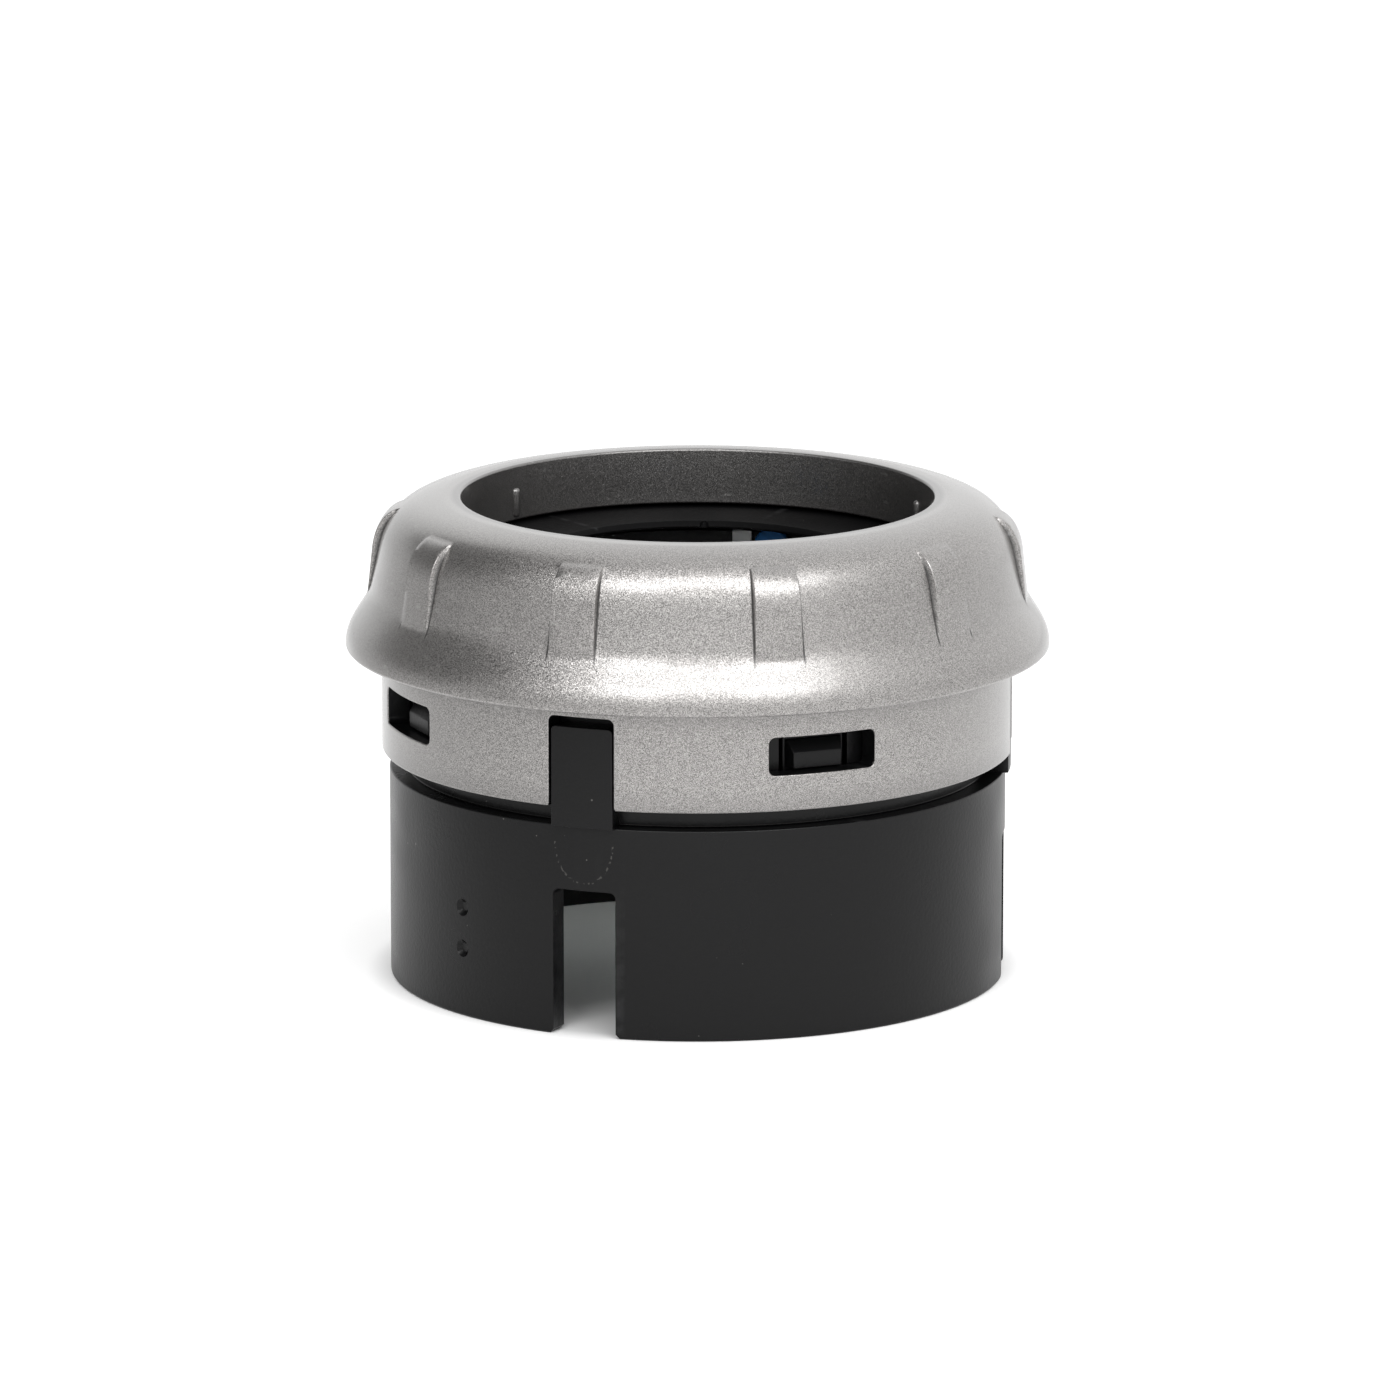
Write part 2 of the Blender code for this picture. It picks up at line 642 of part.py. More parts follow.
def lens_curve():
    """(radius, height over the rim) from the lens's middle out to its rim, on one sphere."""
    sphere = (LENS_RADIUS**2 + LENS_SAG**2) / (2 * LENS_SAG)
    radii = [LENS_RADIUS * i / LENS_RINGS for i in range(LENS_RINGS + 1)]
    return [(r, math.sqrt(sphere**2 - r * r) - (sphere - LENS_SAG)) for r in radii]


def build_optics(shop, glass, black):
    """Two flat-backed lenses with their curved sides together, a spacer between and a retainer on top."""
    field_back = CELL_SEAT_Z + GAP
    field_rim = field_back + LENS_EDGE
    eye_rim = field_rim + 2 * LENS_SAG + LENS_GAP
    eye_back = eye_rim + LENS_EDGE
    field = [(r, field_rim + z) for r, z in lens_curve()]
    field += [(LENS_RADIUS, field_back), (0, field_back)]
    shop.turned("field_lens", field, INNER_SEGMENTS, glass, solid=True)
    eye = [(0, eye_back), (LENS_RADIUS, eye_back)]
    eye += [(r, eye_rim - z) for r, z in reversed(lens_curve())]
    shop.turned("eye_lens", eye, INNER_SEGMENTS, glass, solid=True)
    spacer_top = eye_rim - SPACER_CLEARANCE
    spacer_bottom = field_rim + SPACER_CLEARANCE
    spacer = [
        (SPACER_BORE, spacer_top),
        (LENS_RADIUS, spacer_top),
        (LENS_RADIUS, spacer_bottom),
        (SPACER_BORE, spacer_bottom),
    ]
    shop.turned("lens_spacer", spacer, INNER_SEGMENTS, black)
    bottom = eye_back + GAP
    top = bottom + RETAINER_HEIGHT
    ring = [(RETAINER_BORE, top), (LENS_RADIUS, top), (LENS_RADIUS, bottom), (RETAINER_BORE, bottom)]
    retainer = shop.turned("lens_retainer", ring, INNER_SEGMENTS, black)
    half = RETAINER_SLOT_WIDTH / 2
    low = top - RETAINER_SLOT_DEPTH
    slot = [(-half, low), (half, low), (half, top + 1), (-half, top + 1)]
    slots = [
        shop.front_slab(f"spanner_slot_{i}", slot, RETAINER_BORE - 2, LENS_RADIUS + 2, degrees)
        for i, degrees in enumerate(RETAINER_SLOT_AZIMUTHS, 1)
    ]
    combine(retainer, "DIFFERENCE", slots)


def build_studs(shop, blue):
    """Round-headed studs that point outwards, heads inside the cell and ends in the dial's slots."""
    head_back = STUD_HEAD_FACE + STUD_HEAD_THICKNESS
    profile = [
        (0, STUD_END),
        (STUD_SHANK_RADIUS - STUD_END_CHAMFER, STUD_END),
        (STUD_SHANK_RADIUS, STUD_END - STUD_END_CHAMFER),
        (STUD_SHANK_RADIUS, head_back),
        (STUD_HEAD_RADIUS, head_back),
        (STUD_HEAD_RADIUS, STUD_HEAD_FACE + STUD_HEAD_CHAMFER),
        (STUD_HEAD_RADIUS - STUD_HEAD_CHAMFER, STUD_HEAD_FACE),
        (0, STUD_HEAD_FACE),
    ]
    for name, degrees, z in stud_places():
        matrix = azimuth(degrees) @ lift(0, z) @ stand_up()
        shop.turned(name, profile, SMALL_SEGMENTS, blue, matrix, solid=True)


def build_clips(shop, steel):
    """Bent steel strips that straddle the cell's rim and rub on the drum."""
    left, right = CLIP_INNER_FACE, CLIP_OUTER_FACE
    centre_z = CLIP_TOP - CLIP_BEND
    inside = CLIP_BEND - CLIP_STEEL
    outer_line = [(left, CLIP_INNER_END)]
    outer_line += arc((left + CLIP_BEND, centre_z), CLIP_BEND, 180, 90, 4)
    outer_line += arc((right - CLIP_BEND, centre_z), CLIP_BEND, 90, 0, 4)
    outer_line += [(right, CLIP_OUTER_END)]
    inner_line = [(right - CLIP_STEEL, CLIP_OUTER_END)]
    inner_line += arc((right - CLIP_BEND, centre_z), inside, 0, 90, 4)
    inner_line += arc((left + CLIP_BEND, centre_z), inside, 90, 180, 4)
    inner_line += [(left + CLIP_STEEL, CLIP_INNER_END)]
    for i, degrees in enumerate(clip_azimuths(), 1):
        soften(shop.side_slab(f"drag_clip_{i}", outer_line + inner_line, CLIP_WIDTH, degrees, steel))


def build_guide_ring(shop, black, steel):
    """Flange under the neck, prongs up into the cell's grooves, and the screws that hold it."""
    bottom = RING_TOP - RING_THICKNESS
    profile = [(RING_BORE, RING_TOP), (RING_RADIUS, RING_TOP), (RING_RADIUS, bottom), (RING_BORE, bottom)]
    ring = shop.turned("guide_ring", profile, SEGMENTS, black)
    half = PRONG_WIDTH / 2
    prong = rounded_box(-half, half, RING_TOP - RING_THICKNESS / 2, PRONG_TOP, PRONG_CORNER)
    prongs = [
        shop.front_slab(f"prong_{i}", prong, PRONG_INNER, PRONG_OUTER, degrees)
        for i, degrees in enumerate(PRONG_AZIMUTHS, 1)
    ]
    combine(ring, "UNION", prongs)
    holes = [
        shop.post(f"screw_hole_{i}", SCREW_HOLE_RADIUS, bottom - 1, RING_TOP + 1, SCREW_CIRCLE, degrees)
        for i, degrees in enumerate(SCREW_AZIMUTHS, 1)
    ]
    combine(ring, "DIFFERENCE", holes)
    head_top = bottom - GAP
    head_bottom = head_top - SCREW_HEAD_THICKNESS
    screw = [
        (0, SCREW_TIP),
        (SCREW_SHANK_RADIUS / 2, SCREW_TIP),
        (SCREW_SHANK_RADIUS, SCREW_TIP - SCREW_POINT),
        (SCREW_SHANK_RADIUS, head_top),
        (SCREW_HEAD_RADIUS, head_top),
        (SCREW_HEAD_RADIUS, head_bottom + SCREW_HEAD_CHAMFER),
        (SCREW_HEAD_RADIUS - SCREW_HEAD_CHAMFER, head_bottom),
        (0, head_bottom),
    ]
    for i, degrees in enumerate(SCREW_AZIMUTHS, 1):
        matrix = azimuth(degrees) @ lift(SCREW_CIRCLE, 0)
        shop.turned(f"guide_ring_screw_{i}", screw, SMALL_SEGMENTS, steel, matrix, solid=True)


def main():
    """Build every piece of the magnifier."""
    clear_scene()
    shop = Workshop()
    black = new_material("black_moulding", (0.012, 0.012, 0.013), 0.38)
    silver = new_material("silver_paint", (0.45, 0.44, 0.43), 0.34, metallic=0.75)
    anodised = new_material("black_anodised", (0.02, 0.02, 0.021), 0.5, metallic=0.4)
    blue = new_material("blue_moulding", (0.02, 0.16, 0.5), 0.4)
    steel = new_material("spring_steel", (0.6, 0.6, 0.6), 0.25, metallic=1.0)
    glass = new_material("lens_glass", (0.95, 0.97, 0.96), 0.02, transmission=1.0)
    build_sleeve(shop, black)
    build_cap(shop, silver)
    for index, degrees in enumerate(ARM_AZIMUTHS, 1):
        build_snap_arm(shop, black, index, degrees)
    build_dial(shop, black)
    build_cell(shop, anodised)
    build_optics(shop, glass, black)
    build_studs(shop, blue)
    build_clips(shop, steel)
    build_guide_ring(shop, black, steel)
    bpy.context.view_layer.update()


main()
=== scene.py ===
"""Looks of a stand magnifier with a silver grip cap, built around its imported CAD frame.

Each piece is modelled again in fine detail at the place of its CAD node, dressed in a node
material, and set on the CAD body that carries it. Lengths are in millimetres until a mesh is made.
Azimuth 0 is the front, on -Y, and azimuths grow towards +X.
"""

import logging
import math
from collections.abc import Callable, Iterable, Sequence
from dataclasses import dataclass
from enum import Enum
from functools import reduce

import bmesh
import bpy
from mathutils import Matrix, Vector


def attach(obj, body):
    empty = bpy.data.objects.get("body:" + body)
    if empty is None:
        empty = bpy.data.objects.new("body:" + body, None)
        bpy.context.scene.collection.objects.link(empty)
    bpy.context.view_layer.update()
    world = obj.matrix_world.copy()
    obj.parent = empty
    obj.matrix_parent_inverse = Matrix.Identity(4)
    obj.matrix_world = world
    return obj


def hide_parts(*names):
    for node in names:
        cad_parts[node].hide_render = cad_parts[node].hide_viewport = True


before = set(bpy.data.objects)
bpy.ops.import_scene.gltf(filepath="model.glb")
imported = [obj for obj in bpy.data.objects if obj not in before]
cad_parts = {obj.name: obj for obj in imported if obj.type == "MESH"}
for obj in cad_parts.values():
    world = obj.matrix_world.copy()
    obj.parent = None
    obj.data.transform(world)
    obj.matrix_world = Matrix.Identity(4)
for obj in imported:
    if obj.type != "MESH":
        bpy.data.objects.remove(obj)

MM = 0.001
# How far a cutter reaches past what it cuts.
CLEARANCE = 1.0
# Width of the strips that a piece is sliced into before it is bent.
STRIP_WIDTH = 0.7
# Two places closer than this are the same one.
SAME_PLACE = 0.01
SMOOTH_ANGLE = math.radians(32)

Point = tuple[float, float]
Outline = list[Point]
Colour = tuple[float, float, float, float]
Socket = bpy.types.NodeSocket
Piece = bpy.types.Object

log = logging.getLogger("magnifier")


class Slot(Enum):
    """Names of material slots."""

    SILVER = "silver_paint"
    BLACK = "black_moulding"
    DIAL = "dial_black"
    CELL = "cell_black"
    GLASS = "lens_glass"
    BLUE = "blue_moulding"
    SPRING = "spring_steel"
    SCREW = "screw_steel"


class Body(Enum):
    """CAD bodies that carry more than one piece, or a piece of their own."""

    STAND = "stand"
    DIAL = "dial"
    CELL = "cell"


class Way(Enum):
    """The way a drawn face is pushed: towards the axis or away from it."""

    INWARDS = 1
    OUTWARDS = -1


class Combine(Enum):
    """What a Boolean does with its tool."""

    CUT = "DIFFERENCE"
    JOIN = "UNION"


@dataclass(frozen=True)
class Corner:
    """A corner of a section: its radius and height, and the fillet that rounds it."""

    radius: float
    height: float
    fillet: float = 0.0


@dataclass(frozen=True)
class Stroke:
    """One push of a face: how far it goes, and how much its outline shrinks on the way."""

    advance: float
    shrink: float = 0.0


def cubic(ends: tuple[Point, Point], handles: tuple[Point, Point], steps: int) -> Outline:
    """Points of a cubic curve.

    Args:
        ends: First and last point.
        handles: The two handles between them.
        steps: Number of pieces the curve is split into.

    Returns:
        The points, both ends included.
    """
    points = []
    for i in range(steps + 1):
        t = i / steps
        weights = ((1 - t) ** 3, 3 * t * (1 - t) ** 2, 3 * t * t * (1 - t), t**3)
        along = (ends[0], *handles, ends[1])
        points.append(tuple(sum(w * p[axis] for w, p in zip(weights, along)) for axis in (0, 1)))
    return points


def straight(first: Point, last: Point, steps: int) -> Outline:
    """Points of a straight line, without its first one.

    Args:
        first: Where the line starts.
        last: Where it ends.
        steps: Number of pieces it is split into.

    Returns:
        The points after the first.
    """
    shares = [i / steps for i in range(1, steps + 1)]
    return [(first[0] + s * (last[0] - first[0]), first[1] + s * (last[1] - first[1])) for s in shares]


def arc(centre: Point, radius: float, first: float, last: float, steps: int) -> Outline:
    """Points of an arc.

    Args:
        centre: Middle of the circle.
        radius: Its radius.
        first: Angle of the first point, in degrees.
        last: Angle of the last point, in degrees.
        steps: Number of pieces the arc is split into.

    Returns:
        The points, both ends included.
    """
    angles = [math.radians(first + (last - first) * i / steps) for i in range(steps + 1)]
    return [(centre[0] + radius * math.cos(a), centre[1] + radius * math.sin(a)) for a in angles]


def plain(points: Iterable[Point]) -> list[Corner]:
    """Corners without a fillet at these points."""
    return [Corner(*point) for point in points]


def rounded(corners: Sequence[Corner], steps: int = 4) -> Outline:
    """Round the corners of a closed outline.

    Args:
        corners: Corners in order round the outline.
        steps: Pieces that each fillet is split into.

    Returns:
        The outline's points, with an arc in place of each corner that has a fillet.
    """
    outline = []
    for i, corner in enumerate(corners):
        here = Vector((corner.radius, corner.height))
        if not corner.fillet:
            outline.append(tuple(here))
            continue
        before, after = corners[i - 1], corners[(i + 1) % len(corners)]
        back = (Vector((before.radius, before.height)) - here).normalized()
        ahead = (Vector((after.radius, after.height)) - here).normalized()
        half = back.angle(ahead) / 2
        centre = here + (back + ahead).normalized() * corner.fillet / math.sin(half)
        start = here + back * corner.fillet / math.tan(half) - centre
        turn_by = start.angle_signed(here + ahead * corner.fillet / math.tan(half) - centre)
        for step in range(steps + 1):
            spoke = start.copy()
            spoke.rotate(Matrix.Rotation(-turn_by * step / steps, 2))
            outline.append(tuple(centre + spoke))
    return outline


def box_outline(
    half: float, bottom: float, top: float, top_fillet: float, bottom_fillet: float = 0.0
) -> Outline:
    """A box drawn on the front, with rounded corners.

    Args:
        half: Half its width.
        bottom: Height of its lower side.
        top: Height of its upper side.
        top_fillet: Rounding of the upper corners.
        bottom_fillet: Rounding of the lower corners.

    Returns:
        Its outline, as across and up.
    """
    corners = [Corner(half, bottom, bottom_fillet), Corner(half, top, top_fillet)]
    corners += [Corner(-half, top, top_fillet), Corner(-half, bottom, bottom_fillet)]
    return rounded(corners, steps=6)


def rolled_edge(radius: float, way: Way, steps: int = 4) -> list[Stroke]:
    """Strokes that round the edge between a drawn face and the walls behind it.

    Args:
        radius: Radius of the rounding.
        way: Inwards for the mouth of an opening, outwards for the rim of a raised pad.
        steps: Pieces that the rounding is split into.

    Returns:
        The strokes, in order.
    """
    angles = [math.pi / 2 * i / steps for i in range(steps + 1)]
    strokes = []
    for a, b in zip(angles, angles[1:]):
        sideways, onwards = math.sin(b) - math.sin(a), math.cos(a) - math.cos(b)
        if way is Way.OUTWARDS:
            sideways, onwards = onwards, sideways
        strokes.append(Stroke(radius * onwards, radius * sideways))
    return strokes


def show_only(piece: Piece) -> None:
    """Select this piece alone and make it active.

    Args:
        piece: The piece.
    """
    bpy.ops.object.select_all(action="DESELECT")
    piece.select_set(True)
    bpy.context.view_layer.objects.active = piece


def enter_edit(piece: Piece) -> None:
    """Open a piece in edit mode with everything selected.

    Args:
        piece: The piece.
    """
    show_only(piece)
    bpy.ops.object.mode_set(mode="EDIT")
    bpy.ops.mesh.select_mode(type="VERT")
    bpy.ops.mesh.select_all(action="SELECT")


def leave_edit() -> None:
    """Close edit mode, after merging doubles and turning the normals outwards."""
    bpy.ops.mesh.select_all(action="SELECT")
    bpy.ops.mesh.remove_doubles(threshold=1e-6)
    bpy.ops.mesh.normals_make_consistent(inside=False)
    bpy.ops.object.mode_set(mode="OBJECT")


def pick_faces(piece: Piece, test: Callable[[Vector, Vector], bool]) -> None:
    """Select, in edit mode, the faces that pass a test.

    Args:
        piece: Piece open in edit mode.
        test: Takes a face's middle in millimetres and its normal.
    """
    bpy.ops.mesh.select_mode(type="FACE")
    bpy.ops.mesh.select_all(action="DESELECT")
    cage = bmesh.from_edit_mesh(piece.data)
    for face in cage.faces:
        face.select_set(test(face.calc_center_median() / MM, face.normal))
    bmesh.update_edit_mesh(piece.data)


def pick_edges(piece: Piece, test: Callable[[Vector, Vector], bool], least_angle: float = 0.6) -> None:
    """Select, in edit mode, the sharp edges that pass a test.

    Args:
        piece: Piece open in edit mode.
        test: Takes the edge's two ends in millimetres.
        least_angle: Least angle between the faces beside an edge, in radians.
    """
    bpy.ops.mesh.select_mode(type="EDGE")
    bpy.ops.mesh.select_all(action="DESELECT")
    cage = bmesh.from_edit_mesh(piece.data)
    for edge in cage.edges:
        sharp = edge.is_manifold and edge.calc_face_angle() > least_angle
        edge.select_set(sharp and test(edge.verts[0].co / MM, edge.verts[1].co / MM))
    bmesh.update_edit_mesh(piece.data)


def azimuth_of(place: Vector) -> float:
    """Azimuth of a place, in degrees from the front."""
    return math.degrees(math.atan2(place.x, -place.y))


def radius_of(place: Vector) -> float:
    """Distance of a place from the axis."""
    return math.hypot(place.x, place.y)


def turn(name: str, section: Outline, steps: int) -> Piece:
    """Turn a closed section about the axis.

    Args:
        name: Name of the new piece.
        section: Radius and height of each point, in order round the section, or from axis to axis.
        steps: Meridians round the axis, the first at the front.

    Returns:
        The turned piece.
    """
    bpy.ops.object.select_all(action="DESELECT")
    bpy.ops.mesh.primitive_plane_add(size=MM)
    piece = bpy.context.object
    piece.name = name
    enter_edit(piece)
    bpy.ops.mesh.merge(type="CENTER")
    bpy.ops.transform.translate(value=(0, -section[0][0] * MM, section[0][1] * MM))
    reaches_axis = section[0][0] == section[-1][0] == 0
    path = section if reaches_axis else section + section[:1]
    for here, there in zip(path, path[1:]):
        move = (0, (here[0] - there[0]) * MM, (there[1] - here[1]) * MM)
        bpy.ops.mesh.extrude_vertices_move(TRANSFORM_OT_translate={"value": move})
    bpy.ops.mesh.select_all(action="SELECT")
    bpy.ops.mesh.spin(steps=steps, angle=math.tau, center=(0, 0, 0), axis=(0, 0, 1))
    leave_edit()
    return piece


def rod(name: str, radius: float, span: Point, steps: int) -> Piece:
    """Turn a plain rod about the axis.

    Args:
        name: Name of the new piece.
        radius: Radius of the rod.
        span: Heights of its two ends.
        steps: Meridians round the axis.

    Returns:
        The rod.
    """
    low, high = span
    return turn(name, [(0, low), (radius, low), (radius, high), (0, high)], steps)


def push(
    name: str, outline: Outline, start: float, strokes: Sequence[Stroke], way: Way = Way.INWARDS
) -> Piece:
    """Draw an outline on the front and push it through the strokes.

    Args:
        name: Name of the new piece.
        outline: Across and up, counter-clockwise as seen from the front.
        start: Distance of the drawing from the axis.
        strokes: Pushes of the face; the first one doesn't shrink it.
        way: Towards the axis or away from it.

    Returns:
        The closed piece.
    """
    bpy.ops.object.select_all(action="DESELECT")
    bpy.ops.mesh.primitive_circle_add(vertices=len(outline), radius=MM, fill_type="NGON")
    piece = bpy.context.object
    piece.name = name
    for vertex, (across, up) in zip(piece.data.vertices, outline):
        vertex.co = (across * MM, -start * MM, up * MM)
    enter_edit(piece)
    if way is Way.INWARDS:
        bpy.ops.mesh.flip_normals()
    for stroke in strokes:
        if stroke.shrink:
            bpy.ops.mesh.inset(thickness=stroke.shrink * MM, depth=stroke.advance * MM)
        else:
            move = (0, way.value * stroke.advance * MM, 0)
            bpy.ops.mesh.extrude_region_move(TRANSFORM_OT_translate={"value": move})
    leave_edit()
    return piece


def wrap(piece: Piece, radius: float) -> Piece:
    """Slice a piece drawn on the front into narrow strips and bend it round the axis.

    Args:
        piece: Piece whose across is a length along the circle.
        radius: Radius at which that length is true.

    Returns:
        The same piece.
    """
    across = [vertex.co.x for vertex in piece.data.vertices]
    first, last = min(across), max(across)
    strips = math.ceil((last - first) / (STRIP_WIDTH * MM))
    enter_edit(piece)
    for i in range(1, strips):
        bpy.ops.mesh.select_all(action="SELECT")
        bpy.ops.mesh.bisect(plane_co=(first + (last - first) * i / strips, 0, 0), plane_no=(1, 0, 0))
    leave_edit()
    for vertex in piece.data.vertices:
        angle = vertex.co.x / (radius * MM)
        reach = -vertex.co.y
        vertex.co.x = reach * math.sin(angle)
        vertex.co.y = -reach * math.cos(angle)
    return piece


def swing(piece: Piece, azimuth: float) -> Piece:
    """Turn a piece's mesh about the axis by an azimuth, in degrees."""
    piece.data.transform(Matrix.Rotation(math.radians(azimuth), 4, "Z"))
    return piece


def shift(piece: Piece, radius: float, height: float) -> Piece:
    """Move a piece's mesh out to the front and up, in millimetres."""
    piece.data.transform(Matrix.Translation((0, -radius * MM, height * MM)))
    return piece


def point_outwards(piece: Piece) -> Piece:
    """Lay a piece turned about the axis down, so that its top points to the front."""
    piece.data.transform(Matrix.Rotation(math.radians(90), 4, "X"))
    return piece


def round_about(piece: Piece, azimuths: Sequence[float]) -> list[Piece]:
    """Copy a piece modelled at the front round the axis.

    Args:
        piece: The piece; it becomes the first copy.
        azimuths: Where the copies go, in degrees.

    Returns:
        One piece for each azimuth, each with a mesh of its own.
    """
    copies = []
    for _ in azimuths[1:]:
        show_only(piece)
        bpy.ops.object.duplicate(linked=False)
        copies.append(bpy.context.object)
    return [swing(each, azimuth) for each, azimuth in zip([piece, *copies], azimuths)]


def gather(pieces: Sequence[Piece]) -> Piece:
    """Join pieces into the first one.

    Args:
        pieces: The pieces.

    Returns:
        The first piece, with the meshes of all.
    """
    show_only(pieces[0])
    for piece in pieces:
        piece.select_set(True)
    if len(pieces) > 1:
        bpy.ops.object.join()
    return pieces[0]


def combine(piece: Piece, how: Combine, tools: Sequence[Piece]) -> None:
    """Cut tools from a piece, or join them to it, and drop the tools.

    Args:
        piece: The piece that is changed.
        how: Cut or join.
        tools: Closed pieces that don't touch each other.
    """
    tool = gather(tools)
    modifier = piece.modifiers.new(how.name.lower(), "BOOLEAN")
    modifier.operation = how.value
    modifier.solver = "EXACT"
    modifier.object = tool
    show_only(piece)
    bpy.ops.object.modifier_apply(modifier=modifier.name)
    bpy.data.objects.remove(tool)


def smooth(piece: Piece) -> Piece:
    """Shade a piece smooth up to the sharp angle, with normals that follow its larger faces.

    Args:
        piece: The piece.

    Returns:
        The same piece.
    """
    show_only(piece)
    bpy.ops.object.shade_smooth_by_angle(angle=SMOOTH_ANGLE)
    modifier = piece.modifiers.new("weighted", "WEIGHTED_NORMAL")
    modifier.keep_sharp = True
    modifier.weight = 100
    bpy.ops.object.modifier_apply(modifier=modifier.name)
    return piece


def seat(piece: Piece, body: str, node: str) -> None:
    """Set a finished piece on its CAD body in place of a CAD node.

    Args:
        piece: The finished piece.
        body: CAD body that carries it.
        node: CAD node that it stands for.
    """
    piece.name = f"{node}_fine"
    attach(piece, body)
    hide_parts(node)
    log.info("%s on %s: %d faces", piece.name, body, len(piece.data.polygons))


def smoothstep(value: float) -> float:
    """Ease a share between 0 and 1."""
    share = min(max(value, 0.0), 1.0)
    return share * share * (3 - 2 * share)


class Wiring:
    """A node tree and short ways of adding nodes to it."""

    def __init__(self, tree: bpy.types.NodeTree) -> None:
        """Keep the tree that nodes are added to."""
        self.tree = tree

    def add(
        self, kind: str, inputs: dict[str | int, object] | None = None, **settings: object
    ) -> bpy.types.Node:
        """Add a node.

        Args:
            kind: Type name of the node.
            inputs: Values or sockets for its inputs, by name or number.
            **settings: Other settings of the node.

        Returns:
            The new node.
        """
        node = self.tree.nodes.new(kind)
        for name, value in settings.items():
            setattr(node, name, value)
        for name, value in (inputs or {}).items():
            self.feed(node.inputs[name], value)
        return node

    def feed(self, socket: Socket, value: object) -> None:
        """Link a socket to an input, or set the input's value.

        Args:
            socket: The input.
            value: A socket to link to it, or the value that it is set to.
        """
        if isinstance(value, bpy.types.NodeSocket):
            self.tree.links.new(value, socket)
        else:
            socket.default_value = value

    def place(self) -> Socket:
        """Coordinates of the object, in metres."""
        return self.add("ShaderNodeTexCoord").outputs["Object"]

    def sums(self, operation: str, *values: object) -> Socket:
        """Result of a Math node on these values or sockets."""
        return self.add("ShaderNodeMath", dict(enumerate(values)), operation=operation).outputs[0]

    def product(self, *values: object) -> Socket:
        """Product of two or more values or sockets."""
        return reduce(lambda first, second: self.sums("MULTIPLY", first, second), values)

    def vector(self, operation: str, *values: object) -> Socket:
        """Vector result of a Vector Math node on these values or sockets."""
        return self.add("ShaderNodeVectorMath", dict(enumerate(values)), operation=operation).outputs[0]

    def measure(self, operation: str, *values: object) -> Socket:
        """Number that a Vector Math node gives for these values or sockets."""
        node = self.add("ShaderNodeVectorMath", dict(enumerate(values)), operation=operation)
        return node.outputs["Value"]

    def split(self, place: Socket) -> tuple[Socket, ...]:
        """X, Y and Z of a place."""
        return tuple(self.add("ShaderNodeSeparateXYZ", {"Vector": place}).outputs)

    def noise(self, place: Socket, scale: object, detail: float = 2.0) -> Socket:
        """Noise from 0 to 1 at a place, finer with a larger scale."""
        inputs = {"Vector": place, "Scale": scale, "Detail": detail}
        return self.add("ShaderNodeTexNoise", inputs).outputs["Fac"]

    def ramp(
        self, value: Socket, low: float, high: float, to_low: float = 0.0, to_high: float = 1.0
    ) -> Socket:
        """Map a value from one range to another.

        Args:
            value: Socket with the value.
            low: Value that gives to_low.
            high: Value that gives to_high.
            to_low: Result at and below low.
            to_high: Result at and above high.

        Returns:
            Socket with the result.
        """
        inputs = {"Value": value, 1: low, 2: high, 3: to_low, 4: to_high}
        return self.add("ShaderNodeMapRange", inputs).outputs[0]

    def blend(self, share: object, first: object, second: object) -> Socket:
        """Mix two colours by a share.

        Args:
            share: Share of the second colour.
            first: Colour at share 0.
            second: Colour at share 1.

        Returns:
            Socket with the mixed colour.
        """
        node = self.add("ShaderNodeMix", data_type="RGBA")
        self.feed(node.inputs[0], share)
        self.feed(node.inputs[6], first)
        self.feed(node.inputs[7], second)
        return node.outputs[2]


@dataclass(frozen=True)
class Effect:
    """A surface effect that several finishes share, as one node group."""

    name: str
    takes: tuple[tuple[str, float], ...]
    gives: tuple[str, ...]
    wire: Callable[[Wiring, bpy.types.Node], dict[str, Socket]]

    def tree(self) -> bpy.types.NodeTree:
        """Node group of this effect, made on first use.

        Returns:
            The node group.
        """
        known = bpy.data.node_groups.get(self.name)
        if known:
            return known
        tree = bpy.data.node_groups.new(self.name, "ShaderNodeTree")
        for name, value in self.takes:
            socket = tree.interface.new_socket(name, in_out="INPUT", socket_type="NodeSocketFloat")
            socket.default_value = value
        for name in self.gives:
            tree.interface.new_socket(name, in_out="OUTPUT", socket_type="NodeSocketFloat")
        wiring = Wiring(tree)
        made = self.wire(wiring, wiring.add("NodeGroupInput"))
        wiring.add("NodeGroupOutput", dict(made))
        return tree

    def put(self, wiring: Wiring, **values: float) -> bpy.types.Node:
        """Place the effect in a material.

        Args:
            wiring: The material's nodes.
            **values: Its inputs, by name with the first letter small.

        Returns:
            The group node.
        """
        node = wiring.add("ShaderNodeGroup", node_tree=self.tree())
        for name, value in values.items():
            wiring.feed(node.inputs[name.capitalize()], value)
        return node


def wire_grain(wiring: Wiring, given: bpy.types.Node) -> dict[str, Socket]:
    """Fine moulding grain and a slow cloud over it.

    Args:
        wiring: Nodes of the group.
        given: The group's inputs.

    Returns:
        The group's outputs, by name.
    """
    place = wiring.place()
    fine = wiring.noise(place, given.outputs["Scale"], 3.0)
    slow = wiring.sums("MULTIPLY", given.outputs["Scale"], 0.04)
    return {"Fine": fine, "Cloud": wiring.noise(place, slow)}


